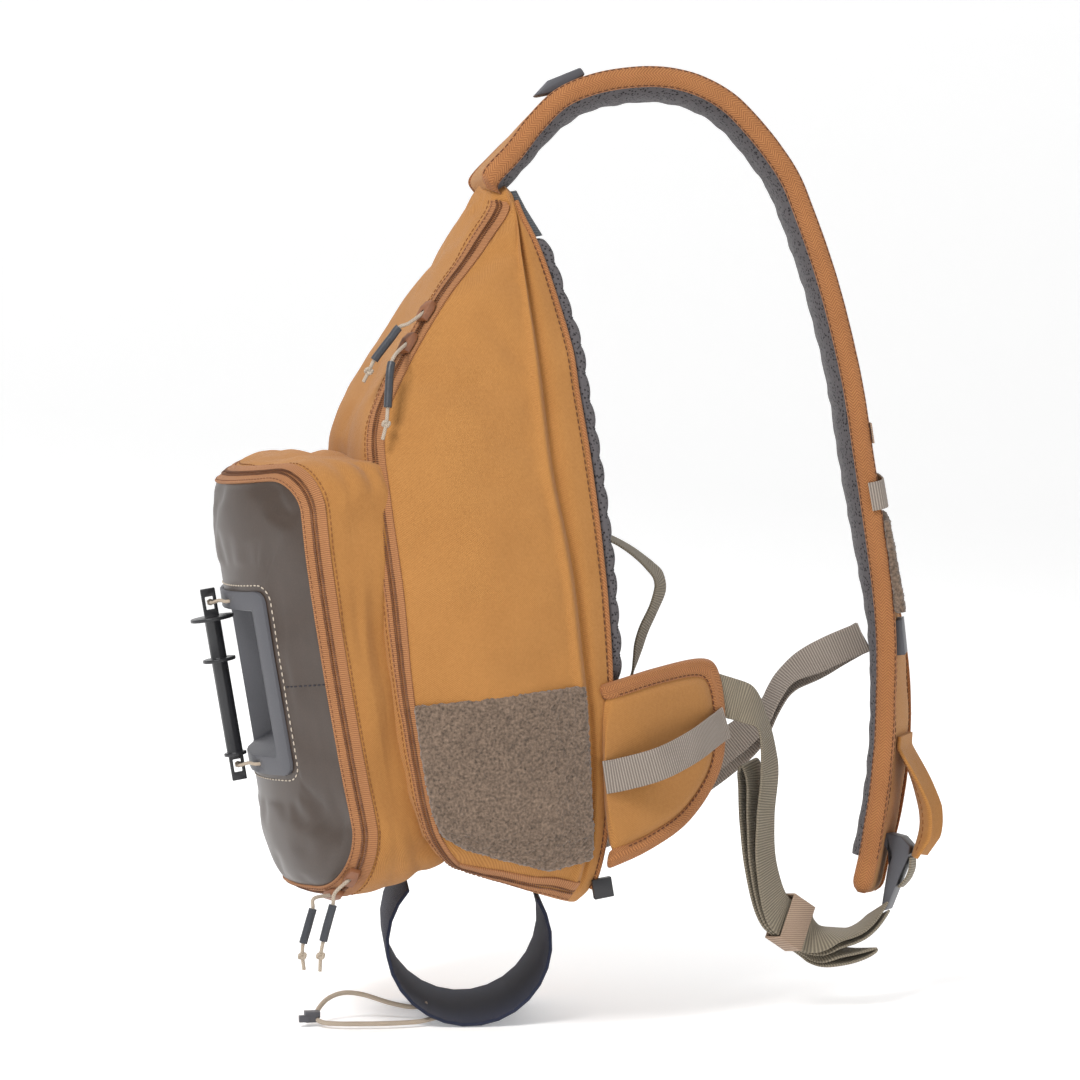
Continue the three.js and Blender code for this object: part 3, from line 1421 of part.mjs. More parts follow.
put(bag, 'bottle_holder', bottleHolder(), NAVY);
put(bag, 'foot_tab', footTab(), BLACK);
for (const [name, pairs, place, route] of [
  ['main_upper', mainZip, 3.15, UPPER_PULL_ROUTE],
  ['main_lower', mainZip, 3.6, LOWER_PULL_ROUTE],
  ['pocket_near', pocketZip, 17.6, NEAR_POCKET_PULL_ROUTE],
  ['pocket_side', pocketZip, 16.6, SIDE_POCKET_PULL_ROUTE],
]) {
  const frame = sliderFrame(pairs, place);
  const cordRoute = pullRoute(frame, route);
  put(bag, name + '_slider', slider(frame, cordRoute), TAPE);
  put(part, name + '_pull_cord', pullCord(cordRoute), CORD);
  put(part, name + '_pull_sleeve', pullSleeve(cordRoute), SLATE);
}
put(part, 'shoulder_strap', strapShell().subtract(bodyForm(GAP, outside)), CANVAS);
put(part, 'strap_mesh', strapMesh(), MESH);
put(part, 'strap_binding_near', strapBinding(-1).subtract(bodyForm(GAP, outside)), CANVAS);
put(part, 'strap_binding_far', strapBinding(1).subtract(bodyForm(GAP, outside)), CANVAS);
put(part, 'strap_hook', strapHook(), SLATE);
put(part, 'strap_label', strapLabel(), PALE_WEB);
put(part, 'strap_loop', strapLoop(), PALE_WEB);
put(part, 'strap_pile', strapPile(), PILE);
put(part, 'strap_tab', strapTab(), SLATE);
put(part, 'buckle', buckle(), SLATE);
put(part, 'buckle_cover', buckleCover(), CANVAS);
const mainRows = [
  [0, 0],
  [WEB_END, 0],
];
put(part, 'wing_webbing', layeredBand(mainRows, 48), OLIVE);
put(part, 'stowed_webbing', layeredBand(STOWED_ROWS, 50), OLIVE);
put(part, 'return_webbing', layeredBand(RETURN_ROWS, 20), OLIVE);
put(part, 'tail_webbing', layeredBand(TAIL_ROWS, 36), OLIVE);
put(part, 'buckle_wrap', buckleWrap(), OLIVE);
put(part, 'web_keeper', keeper(), CORD);
put(part, 'cross_webbing_near', crossWebbing(-1), PALE_WEB);
put(part, 'cross_webbing_far', crossWebbing(1), PALE_WEB);
const elastic = tube(places(SHOCK_ROUTE), SHOCK_CORD, SHOCK_STEPS);
put(part, 'shock_cord', elastic.subtract(holderSpace()), CORD);
put(part, 'cord_hook', cordHook(), SLATE);

export default part;
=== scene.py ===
"""Looks of a sling bag for tackle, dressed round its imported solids, in metres with +Z up."""

import logging
import math
from dataclasses import dataclass, field
from enum import Enum
from typing import Any, Callable, Sequence

import bmesh
import bpy
import numpy as np
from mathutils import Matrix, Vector
from mathutils.bvhtree import BVHTree


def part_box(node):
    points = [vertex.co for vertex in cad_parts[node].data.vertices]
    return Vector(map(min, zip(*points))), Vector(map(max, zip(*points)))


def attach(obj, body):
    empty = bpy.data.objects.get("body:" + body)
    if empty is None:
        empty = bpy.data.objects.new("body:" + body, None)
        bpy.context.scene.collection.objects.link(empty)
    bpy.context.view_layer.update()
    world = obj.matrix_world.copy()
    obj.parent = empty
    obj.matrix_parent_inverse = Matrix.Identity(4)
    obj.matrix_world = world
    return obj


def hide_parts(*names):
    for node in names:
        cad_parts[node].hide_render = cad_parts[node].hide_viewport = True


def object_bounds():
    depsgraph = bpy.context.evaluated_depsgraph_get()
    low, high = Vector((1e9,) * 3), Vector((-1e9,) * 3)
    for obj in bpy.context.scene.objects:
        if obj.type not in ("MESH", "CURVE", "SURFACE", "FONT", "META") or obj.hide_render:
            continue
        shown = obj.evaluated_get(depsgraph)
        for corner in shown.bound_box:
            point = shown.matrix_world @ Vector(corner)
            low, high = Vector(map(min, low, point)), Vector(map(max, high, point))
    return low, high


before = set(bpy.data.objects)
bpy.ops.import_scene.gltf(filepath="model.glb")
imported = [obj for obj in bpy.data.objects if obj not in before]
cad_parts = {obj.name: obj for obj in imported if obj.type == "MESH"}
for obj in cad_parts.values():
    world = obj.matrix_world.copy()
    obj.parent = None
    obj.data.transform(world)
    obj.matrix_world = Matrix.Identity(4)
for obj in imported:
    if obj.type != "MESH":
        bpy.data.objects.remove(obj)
CAD_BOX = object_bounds()

log = logging.getLogger("sling_bag")

Array = np.ndarray
BODY = "root"

# Main sizes of the bag, as its solids have them
BODY_HEIGHT = 0.432
BODY_DEPTH = 0.138
BODY_HALF = 0.114
BODY_LEAN = math.radians(9.5)
STRAP_SPAN = 0.250
STRAP_DROP = 0.510
BAG_ORIGIN = np.array([-0.396 * STRAP_SPAN, 0.0, -0.108 * STRAP_DROP])
GAP = 0.0003


# Points and rows


def outside(points: Array) -> Array:
    """Points of the bag's own upright frame, leaned and set in the scene's frame."""
    points = np.asarray(points, float)
    x, y, z = points[..., 0], points[..., 1], points[..., 2]
    cos, sin = math.cos(BODY_LEAN), math.sin(BODY_LEAN)
    return np.stack([x * cos - z * sin, y, x * sin + z * cos], axis=-1) + BAG_ORIGIN


def unit(vectors: Array) -> Array:
    """Vectors scaled to length 1 along the last axis."""
    lengths = np.linalg.norm(vectors, axis=-1, keepdims=True)
    return vectors / np.maximum(lengths, 1e-12)


def smooth_rows(rows: Any, count: int, is_loop: bool = False) -> Array:
    """Passes a smooth curve through rows of numbers.

    Args:
        rows: The rows that it passes through.
        count: How many rows come back.
        is_loop: Whether the last row leads back to the first, which is then not repeated.

    Returns:
        The new rows.
    """
    rows = np.asarray(rows, float)
    if is_loop:
        padded = np.concatenate([rows[-1:], rows, rows[:2]])
        span = np.linspace(0, len(rows), count, endpoint=False)
    else:
        padded = np.concatenate([2 * rows[:1] - rows[1:2], rows, 2 * rows[-1:] - rows[-2:-1]])
        span = np.linspace(0, len(rows) - 1, count)
    low = np.minimum(span.astype(int), len(padded) - 4)
    t = (span - low).reshape(-1, *[1] * (rows.ndim - 1))
    a, b, c, d = (padded[low + k] for k in range(4))
    linear = (c - a) * t
    square = (2 * a - 5 * b + 4 * c - d) * t**2
    cube = (3 * b - a - 3 * c + d) * t**3
    return b + 0.5 * (linear + square + cube)


def even_line(points: Any, count: int) -> Array:
    """The same line, whose first columns are its places, with its points at even distances."""
    points = np.asarray(points, float)
    steps = np.linalg.norm(np.diff(points[:, :3], axis=0), axis=1)
    along = np.concatenate([[0], np.cumsum(steps)])
    even = np.linspace(0, along[-1], count)
    return np.stack([np.interp(even, along, points[:, k]) for k in range(points.shape[1])], axis=1)


def length_of(points: Array) -> float:
    """Length of a line of points."""
    return float(np.linalg.norm(np.diff(points, axis=0), axis=1).sum())


def tangents(points: Array, is_loop: bool = False) -> Array:
    """Directions along a line of points."""
    if is_loop:
        return unit(np.roll(points, -1, axis=0) - np.roll(points, 1, axis=0))
    return unit(np.gradient(points, axis=0))


def ripple(points: Array, wave: float, seed: float) -> Array:
    """A smooth uneven value from -1 to 1 at each point, from a few crossed sines.

    Args:
        points: The places.
        wave: The length of its waves, in metres.
        seed: A number that makes one ripple unlike another.

    Returns:
        One value for each point.
    """
    p = np.asarray(points, float) * (2 * math.pi / wave)
    x, y, z = p[..., 0], p[..., 1], p[..., 2]
    first = np.sin(x * 1.1 + y * 0.6 + z * 0.8 + seed)
    second = np.sin(x * -0.7 + y * 1.3 + z * 1.7 + seed * 2.3)
    third = np.sin(x * 1.9 - y * 0.9 + z * -1.2 + seed * 3.7)
    return (first + second + third) / 3


# Modelling with Blender's own tools


def only(piece: bpy.types.Object) -> bpy.types.Object:
    """Selects one object alone and makes it the active one."""
    bpy.ops.object.select_all(action="DESELECT")
    piece.select_set(True)
    bpy.context.view_layer.objects.active = piece
    return piece


def places_of(piece: bpy.types.Object) -> Array:
    """The places of a mesh's vertices."""
    flat = np.zeros(len(piece.data.vertices) * 3)
    piece.data.vertices.foreach_get("co", flat)
    return flat.reshape(-1, 3)


def set_places(piece: bpy.types.Object, places: Array) -> None:
    """Moves a mesh's vertices."""
    piece.data.vertices.foreach_set("co", np.ascontiguousarray(places, float).ravel())
    piece.data.update()


def apply(piece: bpy.types.Object, kind: str, **settings: Any) -> None:
    """Adds a modifier with its settings and applies it."""
    only(piece)
    modifier = piece.modifiers.new(kind.title(), kind)
    for key, value in settings.items():
        setattr(modifier, key, value)
    bpy.ops.object.modifier_apply(modifier=modifier.name)


def bevel(piece: bpy.types.Object, width: float, angle: float, segments: int = 2) -> None:
    """Rounds a mesh's edges where its faces meet at more than an angle, in degrees."""
    limit = {"limit_method": "ANGLE", "angle_limit": math.radians(angle)}
    apply(piece, "BEVEL", width=width, segments=segments, **limit)


def subdivide(piece: bpy.types.Object, levels: int = 1) -> None:
    """Smooths a mesh by splitting its faces."""
    apply(piece, "SUBSURF", levels=levels, render_levels=levels)


def smooth_shade(piece: bpy.types.Object, angle: float) -> None:
    """Smooths a mesh's shading up to an angle between faces, in degrees."""
    only(piece)
    bpy.ops.object.shade_smooth_by_angle(angle=math.radians(angle))


def face_out(piece: bpy.types.Object) -> None:
    """Turns all faces of a mesh outwards."""
    only(piece)
    bpy.ops.object.mode_set(mode="EDIT")
    bpy.ops.mesh.select_all(action="SELECT")
    bpy.ops.mesh.normals_make_consistent(inside=False)
    bpy.ops.object.mode_set(mode="OBJECT")


def shaped_grid(
    name: str,
    points: Array,
    closed: bool = True,
    looped: bool = False,
    capped: bool = True,
) -> bpy.types.Object:
    """Adds a grid and shapes it into a swept skin, with a UV map in metres.

    Args:
        name: The piece's name.
        points: Its places, as rows along it and columns round or across it.
        closed: Whether the last column meets the first.
        looped: Whether the last row meets the first.
        capped: Whether its open ends are filled.

    Returns:
        The new piece.
    """
    if closed:
        points = np.concatenate([points, points[:, :1]], axis=1)
    if looped:
        points = np.concatenate([points, points[:1]], axis=0)
    rows, columns = points.shape[:2]
    bpy.ops.object.select_all(action="DESELECT")
    bpy.ops.mesh.primitive_grid_add(x_subdivisions=columns - 1, y_subdivisions=rows - 1, size=1)
    piece = bpy.context.active_object
    piece.name = name
    piece.data.name = name
    set_places(piece, points.reshape(-1, 3))
    middle = points[rows // 2]
    across = np.concatenate([[0], np.cumsum(np.linalg.norm(np.diff(middle, axis=0), axis=1))])
    centres = points.mean(axis=1)
    along = np.concatenate([[0], np.cumsum(np.linalg.norm(np.diff(centres, axis=0), axis=1))])
    corners = np.zeros(len(piece.data.loops), np.int32)
    piece.data.loops.foreach_get("vertex_index", corners)
    uv = np.stack([across[corners % columns], along[corners // columns]], axis=1)
    piece.data.uv_layers[0].data.foreach_set("uv", uv.ravel())
    bpy.ops.object.mode_set(mode="EDIT")
    bpy.ops.mesh.select_all(action="SELECT")
    if closed or looped:
        bpy.ops.mesh.remove_doubles(threshold=1e-7)
    if capped and closed and not looped:
        bpy.ops.mesh.select_all(action="SELECT")
        bpy.ops.mesh.fill_holes(sides=0)
    bpy.ops.mesh.select_all(action="SELECT")
    bpy.ops.mesh.normals_make_consistent(inside=False)
    bpy.ops.object.mode_set(mode="OBJECT")
    return piece


def copy_of(node: str, name: str) -> bpy.types.Object:
    """A copy of a CAD node with its loose triangles joined, as a new piece."""
    piece = bpy.data.objects.new(name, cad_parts[node].data.copy())
    piece.data.name = name
    piece.data.materials.clear()
    bpy.context.scene.collection.objects.link(piece)
    only(piece)
    bpy.ops.object.mode_set(mode="EDIT")
    bpy.ops.mesh.select_all(action="SELECT")
    bpy.ops.mesh.remove_doubles(threshold=1e-6)
    bpy.ops.mesh.dissolve_limited(angle_limit=math.radians(1))
    bpy.ops.mesh.normals_make_consistent(inside=False)
    bpy.ops.object.mode_set(mode="OBJECT")
    return piece


def repeated(
    name: str, shape: tuple[Array, list], at: Array, axes: Sequence[Array]
) -> bpy.types.Object:
    """One mesh that holds a small shape again and again.

    Args:
        name: The piece's name.
        shape: The small shape's vertices and faces.
        at: The place of each copy.
        axes: Three directions for each copy, scaled, that its x, y and z follow.

    Returns:
        The new piece.
    """
    vertices, faces = shape
    spread = sum(vertices[None, :, k, None] * axes[k][:, None, :] for k in range(3))
    every = (at[:, None, :] + spread).reshape(-1, 3)
    count = len(vertices)
    all_faces = [[i * count + v for v in face] for i in range(len(at)) for face in faces]
    mesh = bpy.data.meshes.new(name)
    mesh.from_pydata(every.tolist(), [], all_faces)
    piece = bpy.data.objects.new(name, mesh)
    bpy.context.scene.collection.objects.link(piece)
    smooth_shade(piece, 60)
    face_out(piece)
    return piece


def joined(pieces: Sequence[bpy.types.Object], name: str) -> bpy.types.Object:
    """Joins several meshes into the first, under a name."""
    bpy.ops.object.select_all(action="DESELECT")
    for piece in pieces:
        piece.select_set(True)
    bpy.context.view_layer.objects.active = pieces[0]
    bpy.ops.object.join()
    pieces[0].name = name
    pieces[0].data.name = name
    return pieces[0]


def barrel(sides: int = 6) -> tuple[Array, list]:
    """A small stitch: a round bar from -0.5 to 0.5 along x, thin at its ends."""
    rings = [(-0.5, 0.35), (-0.3, 1.0), (0.3, 1.0), (0.5, 0.35)]
    vertices, faces = [], []
    for x, radius in rings:
        for k in range(sides):
            angle = 2 * math.pi * k / sides
            vertices.append((x, radius * math.cos(angle) / 2, radius * math.sin(angle) / 2))
    for r in range(len(rings) - 1):
        for k in range(sides):
            j = (k + 1) % sides
            faces.append([r * sides + k, r * sides + j, (r + 1) * sides + j, (r + 1) * sides + k])
    faces.append(list(range(sides))[::-1])
    faces.append([(len(rings) - 1) * sides + k for k in range(sides)])
    return np.array(vertices), faces


@dataclass(frozen=True)
class Surface:
    """A finished mesh that other pieces are laid on."""

    tree: BVHTree

    @classmethod
    def of(cls, piece: bpy.types.Object) -> "Surface":
        """The surface of a piece."""
        bpy.context.view_layer.update()
        return cls(BVHTree.FromObject(piece, bpy.context.evaluated_depsgraph_get()))

    def lay(self, points: Array, lift: float | Array = 0.0) -> tuple[Array, Array]:
        """Moves points onto the surface.

        Args:
            points: The places, one a row.
            lift: How far above the surface they end.

        Returns:
            Their new places, and the surface's directions there.
        """
        spots, normals = [], []
        for p in points:
            spot, normal, _, _ = self.tree.find_nearest(Vector(p))
            spots.append(spot)
            normals.append(normal)
        normals = np.array(normals)
        return np.array(spots) + normals * np.reshape(lift, (-1, 1)), normals

    def along(self, start: Array, direction: Array) -> Array | None:
        """Where a ray from a place meets the surface, or None."""
        spot, _, _, _ = self.tree.ray_cast(Vector(start), Vector(direction))
        return None if spot is None else np.array(spot)


def puff(
    piece: bpy.types.Object,
    held: Array,
    pressure: float,
    slack: float,
    cap: float,
    frames: int = 18,
    stiff: float = 12,
) -> None:
    """Blows a piece up as cloth between its seams, and keeps the result.

    Args:
        piece: The piece, whose faces point outwards.
        held: How firmly each vertex is held, from 0 to 1.
        pressure: The pressure inside it.
        slack: The cloth's spare length, as a share.
        cap: How far a vertex may move.
        frames: How many steps it runs for.
        stiff: How strongly the cloth resists stretching.
    """
    before = places_of(piece)
    seams = piece.vertex_groups.new(name="seams")
    for level in np.unique(np.round(held, 1)):
        if level > 0:
            seams.add(np.flatnonzero(np.round(held, 1) == level).tolist(), float(level), "REPLACE")
    only(piece)
    cloth = piece.modifiers.new("Cloth", "CLOTH")
    settings = cloth.settings
    settings.quality = 6
    settings.mass = 0.25
    settings.tension_stiffness = stiff
    settings.compression_stiffness = stiff
    settings.shear_stiffness = stiff / 2
    settings.bending_stiffness = 0.6
    settings.vertex_group_mass = "seams"
    settings.use_pressure = True
    settings.uniform_pressure_force = pressure
    settings.shrink_min = -slack
    settings.shrink_max = -slack
    settings.effector_weights.gravity = 0
    cloth.collision_settings.use_collision = False
    cloth.point_cache.frame_start = 1
    cloth.point_cache.frame_end = frames
    for step in range(1, frames + 1):
        bpy.context.scene.frame_set(step)
    bpy.ops.object.modifier_apply(modifier=cloth.name)
    bpy.context.scene.frame_set(1)
    moved = places_of(piece) - before
    lengths = np.linalg.norm(moved, axis=1, keepdims=True)
    moved *= np.minimum(1, cap / np.maximum(lengths, 1e-9)) * (1 - held[:, None])
    set_places(piece, before + moved)
    piece.vertex_groups.clear()


# Finishes


def srgb(red: int, green: int, blue: int) -> tuple[float, float, float]:
    """A colour as light, from its values on screen."""
    return tuple(((c / 255 + 0.055) / 1.055) ** 2.4 for c in (red, green, blue))


class Weave(Enum):
    """How a surface is woven, knitted or moulded."""

    TWILL = "twill"
    RIBS = "ribs"
    HERRINGBONE = "herringbone"
    SPACER = "spacer"
    KNIT = "knit"
    PILE = "pile"
    GRAIN = "grain"
    BRAID = "braid"
    MOULDED = "moulded"


class Painter:
    """Builds one material from nodes."""

    def __init__(self, name: str) -> None:
        """Starts the material with its shader."""
        self.material = bpy.data.materials.new(name)
        self.material.use_nodes = True
        self.tree = self.material.node_tree
        self.shader = self.tree.nodes["Principled BSDF"]
        self.coordinates = self.node("ShaderNodeTexCoord")

    def node(self, kind: str, **settings: Any) -> bpy.types.Node:
        """Adds a node with its settings."""
        made = self.tree.nodes.new(kind)
        for key, value in settings.items():
            setattr(made, key, value)
        return made

    def put(self, socket: bpy.types.NodeSocket, value: Any) -> None:
        """Gives a socket a value, or links another socket to it."""
        if isinstance(value, bpy.types.NodeSocket):
            self.tree.links.new(value, socket)
        else:
            socket.default_value = value

    def maths(self, operation: str, first: Any, second: Any = 0.0) -> bpy.types.NodeSocket:
        """One step of arithmetic."""
        made = self.node("ShaderNodeMath", operation=operation)
        self.put(made.inputs[0], first)
        self.put(made.inputs[1], second)
        return made.outputs[0]

    def dot(self, direction: Sequence[float]) -> bpy.types.NodeSocket:
        """How far a place lies along a direction."""
        made = self.node("ShaderNodeVectorMath", operation="DOT_PRODUCT")
        self.put(made.inputs[0], self.coordinates.outputs["Object"])
        made.inputs[1].default_value = direction
        return made.outputs["Value"]

    def wave(self, value: Any, pitch: float) -> bpy.types.NodeSocket:
        """A wave from 0 to 1 that repeats at a pitch."""
        sine = self.maths("SINE", self.maths("MULTIPLY", value, 2 * math.pi / pitch))
        return self.maths("ADD", self.maths("MULTIPLY", sine, 0.5), 0.5)

    def noise(self, size: float, detail: float = 3.0) -> bpy.types.NodeSocket:
        """Noise whose spots have a size, in metres."""
        made = self.node("ShaderNodeTexNoise")
        self.put(made.inputs["Vector"], self.coordinates.outputs["Object"])
        made.inputs["Scale"].default_value = 1 / size
        made.inputs["Detail"].default_value = detail
        return made.outputs["Fac"]

    def cells(self, size: float) -> bpy.types.NodeSocket:
        """Distance from the middles of cells of a size, in shares of that size."""
        made = self.node("ShaderNodeTexVoronoi")
        self.put(made.inputs["Vector"], self.coordinates.outputs["Object"])
        made.inputs["Scale"].default_value = 1 / size
        return made.outputs["Distance"]

    def uv(self) -> tuple[bpy.types.NodeSocket, bpy.types.NodeSocket]:
        """The piece's own map: across and along, in metres."""
        made = self.node("ShaderNodeSeparateXYZ")
        self.put(made.inputs[0], self.coordinates.outputs["UV"])
        return made.outputs[0], made.outputs[1]

    def span(self, value: Any, low: float, high: float) -> bpy.types.NodeSocket:
        """A value moved from low and high to 0 and 1, and held there."""
        made = self.node("ShaderNodeMapRange")
        self.put(made.inputs["Value"], value)
        made.inputs["From Min"].default_value = low
        made.inputs["From Max"].default_value = high
        return made.outputs["Result"]

    def blend(self, share: Any, first: Any, second: Any) -> bpy.types.NodeSocket:
        """A mix of two colours."""
        made = self.node("ShaderNodeMix", data_type="RGBA")
        self.put(made.inputs["Factor"], share)
        self.put(made.inputs["A"], first if not isinstance(first, tuple) else (*first, 1))
        self.put(made.inputs["B"], second if not isinstance(second, tuple) else (*second, 1))
        return made.outputs["Result"]

    def bump(self, height: Any, depth: float, strength: float = 1.0) -> None:
        """Raises the surface by a height of 0 to 1 times a depth."""
        made = self.node("ShaderNodeBump")
        made.inputs["Strength"].default_value = strength
        made.inputs["Distance"].default_value = depth
        self.put(made.inputs["Height"], height)
        self.put(self.shader.inputs["Normal"], made.outputs["Normal"])


@dataclass(frozen=True)
class Finish:
    """One finish: its colours, its weave and its gloss."""

    slot: str
    light: tuple[int, int, int]
    dark: tuple[int, int, int]
    weave: Weave
    pitch: float
    depth: float
    roughness: float = 0.85
    sheen: float = 0.0
    coat: float = 0.0
    mottle: float = 0.25
    made: dict = field(default_factory=dict, compare=False, hash=False)

    def pattern(self, p: Painter) -> bpy.types.NodeSocket:
        """The weave's height, from 0 to 1, as nodes of a painter."""
        if self.weave is Weave.TWILL:
            first = p.wave(p.dot((1, 1, 1)), self.pitch)
            second = p.wave(p.dot((1, 0.8, -1)), self.pitch * 0.7)
            rough = p.noise(self.pitch * 1.4, 2)
            woven = p.maths("ADD", p.maths("MULTIPLY", first, 0.5), p.maths("MULTIPLY", second, 0.25))
            return p.maths("ADD", woven, p.maths("MULTIPLY", rough, 0.45))
        if self.weave is Weave.RIBS:
            across, along = p.uv()
            ribs = p.wave(along, self.pitch)
            threads = p.wave(across, self.pitch * 0.55)
            return p.maths("ADD", p.maths("MULTIPLY", ribs, 0.8), p.maths("MULTIPLY", threads, 0.2))
        if self.weave is Weave.HERRINGBONE:
            across, along = p.uv()
            column = p.maths("PINGPONG", across, self.pitch * 1.8)
            slanted = p.wave(p.maths("ADD", along, column), self.pitch)
            rough = p.noise(self.pitch, 2)
            return p.maths("ADD", p.maths("MULTIPLY", slanted, 0.7), p.maths("MULTIPLY", rough, 0.3))
        if self.weave is Weave.SPACER:
            holes = p.span(p.cells(self.pitch), 0.2, 0.45)
            rough = p.noise(self.pitch * 0.3, 2)
            return p.maths("ADD", p.maths("MULTIPLY", holes, 0.8), p.maths("MULTIPLY", rough, 0.2))
        if self.weave is Weave.KNIT:
            rows = p.wave(p.dot((0, 0.2, 1)), self.pitch)
            loops = p.wave(p.dot((1, 1, 0)), self.pitch * 0.8)
            return p.maths("MULTIPLY", rows, p.maths("ADD", p.maths("MULTIPLY", loops, 0.6), 0.4))
        if self.weave is Weave.PILE:
            return p.maths("ADD", p.maths("MULTIPLY", p.noise(self.pitch, 6), 1.2), -0.1)
        if self.weave is Weave.GRAIN:
            fine = p.cells(self.pitch)
            return p.maths("ADD", p.maths("MULTIPLY", fine, 0.5), p.maths("MULTIPLY", p.noise(0.01, 4), 0.6))
        if self.weave is Weave.BRAID:
            across, along = p.uv()
            left = p.wave(p.maths("ADD", along, across), self.pitch)
            right = p.wave(p.maths("SUBTRACT", along, across), self.pitch)
            return p.maths("MAXIMUM", left, right)
        return p.noise(self.pitch, 3)

    def material(self) -> bpy.types.Material:
        """The finish as a material, made once."""
        if "material" in self.made:
            return self.made["material"]
        p = Painter(self.slot)
        height = self.pattern(p)
        wide = p.noise(0.035, 2)
        woven = p.maths("MULTIPLY", height, 1 - self.mottle)
        shade = p.maths("ADD", woven, p.maths("MULTIPLY", wide, self.mottle))
        colour = p.blend(p.span(shade, 0.15, 0.85), srgb(*self.dark), srgb(*self.light))
        p.put(p.shader.inputs["Base Color"], colour)
        p.bump(height, self.depth)
        p.shader.inputs["Roughness"].default_value = self.roughness
        p.shader.inputs["Sheen Weight"].default_value = self.sheen
        p.shader.inputs["Coat Weight"].default_value = self.coat
        p.shader.inputs["Coat Roughness"].default_value = 0.35
        p.shader.inputs["Specular IOR Level"].default_value = 0.3 if self.sheen else 0.5
        self.made["material"] = p.material
        return p.material


CANVAS = Finish("canvas", (186, 132, 72), (150, 98, 46), Weave.TWILL, 0.0012, 0.00026, 0.9, 0.12)
BINDING = Finish("binding", (184, 125, 76), (136, 85, 48), Weave.HERRINGBONE, 0.0019, 0.0004, 0.85, 0.1)
TAPE = Finish("zip_tape", (182, 127, 82), (130, 84, 52), Weave.RIBS, 0.0012, 0.00025, 0.8, 0.1)
COIL = Finish("zip_tape", (128, 84, 56), (84, 52, 34), Weave.MOULDED, 0.0008, 0.0001, 0.5)
SLIDER = Finish("slider", (146, 94, 60), (114, 70, 44), Weave.MOULDED, 0.004, 0.00008, 0.42, 0, 0.2)
SPACER = Finish(
    "spacer_mesh", (92, 88, 90), (34, 31, 33), Weave.SPACER, 0.0019, 0.0005, 0.95, 0.1, mottle=0.1
)
CAP_KNIT = Finish("grey_fabric", (96, 100, 104), (62, 65, 69), Weave.KNIT, 0.0017, 0.0003, 0.9, 0.1)
COATED = Finish("coated_fabric", (68, 54, 45), (53, 42, 34), Weave.GRAIN, 0.0009, 0.00004, 0.4, 0, 0.12)
SLATE = Finish("slate_plastic", (84, 84, 89), (72, 72, 77), Weave.MOULDED, 0.0006, 0.00006, 0.5)
BLACK = Finish("black_plastic", (44, 44, 47), (30, 30, 32), Weave.MOULDED, 0.0006, 0.00005, 0.32)
SLEEVE = Finish("sleeve", (66, 68, 74), (46, 48, 53), Weave.MOULDED, 0.0015, 0.0002, 0.38)
CORD = Finish("cord", (198, 183, 165), (142, 125, 105), Weave.BRAID, 0.0014, 0.0003, 0.8, 0.15)
PILE = Finish("pile", (152, 129, 110), (42, 34, 28), Weave.PILE, 0.0016, 0.0012, 1.0, 0.35, mottle=0.1)
OLIVE = Finish("olive_webbing", (152, 141, 122), (104, 96, 82), Weave.RIBS, 0.0016, 0.0004, 0.85, 0.1)
PALE = Finish("pale_webbing", (170, 158, 147), (112, 102, 94), Weave.RIBS, 0.0016, 0.0004, 0.85, 0.1)
ELASTIC = Finish("cord", (190, 164, 142), (138, 116, 98), Weave.KNIT, 0.0013, 0.0002, 0.85, 0.1)
NAVY = Finish("navy_fabric", (46, 52, 74), (22, 25, 38), Weave.TWILL, 0.0011, 0.0002, 0.85, 0.1)
THREAD = Finish("canvas", (148, 96, 48), (118, 72, 34), Weave.BRAID, 0.001, 0.0001, 0.8)
DARK_THREAD = Finish("binding", (104, 60, 32), (74, 42, 22), Weave.BRAID, 0.001, 0.0001, 0.8)
TAPE_THREAD = Finish("zip_tape", (134, 88, 58), (104, 64, 40), Weave.BRAID, 0.001, 0.0001, 0.8)
SLATE_THREAD = Finish("spacer_mesh", (60, 58, 64), (40, 38, 43), Weave.BRAID, 0.001, 0.0001, 0.9)
PALE_THREAD = Finish("cord", (214, 202, 186), (176, 162, 144), Weave.BRAID, 0.001, 0.0001, 0.8)


def dress(piece: bpy.types.Object, finish: Finish, *nodes: str) -> bpy.types.Object:
    """Gives a finished piece its material and its body, and hides the nodes that it stands for.

    Args:
        piece: The piece.
        finish: Its finish.
        nodes: The CAD nodes that it replaces.

    Returns:
        The same piece.
    """
    piece.data.materials.clear()
    piece.data.materials.append(finish.material())
    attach(piece, BODY)
    if nodes:
        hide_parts(*nodes)
    log.info("%s: %d faces, %s", piece.name, len(piece.data.polygons), finish.slot)
    return piece


def soft_copy(
    node: str, name: str, finish: Finish, edge: float, sharp: float, smooth: float, segments: int = 2
) -> bpy.types.Object:
    """A piece with the node's own shape, rounded.

    Args:
        node: The CAD node.
        name: The piece's name.
        finish: Its finish.
        edge: How wide its edges are rounded.
        sharp: The angle above which an edge is rounded, in degrees.
        smooth: The angle up to which its shading is smooth, in degrees.
        segments: How many steps a rounded edge has.

    Returns:
        The new piece.
    """
    piece = copy_of(node, name)
    bevel(piece, edge, sharp, segments)
    smooth_shade(piece, smooth)
    return dress(piece, finish, node)


def hard_copy(node: str, name: str, finish: Finish, edge: float) -> bpy.types.Object:
    """A moulded piece with the node's own shape and crisp edges."""
    return soft_copy(node, name, finish, edge, 25, 35)


# Stitches and bands


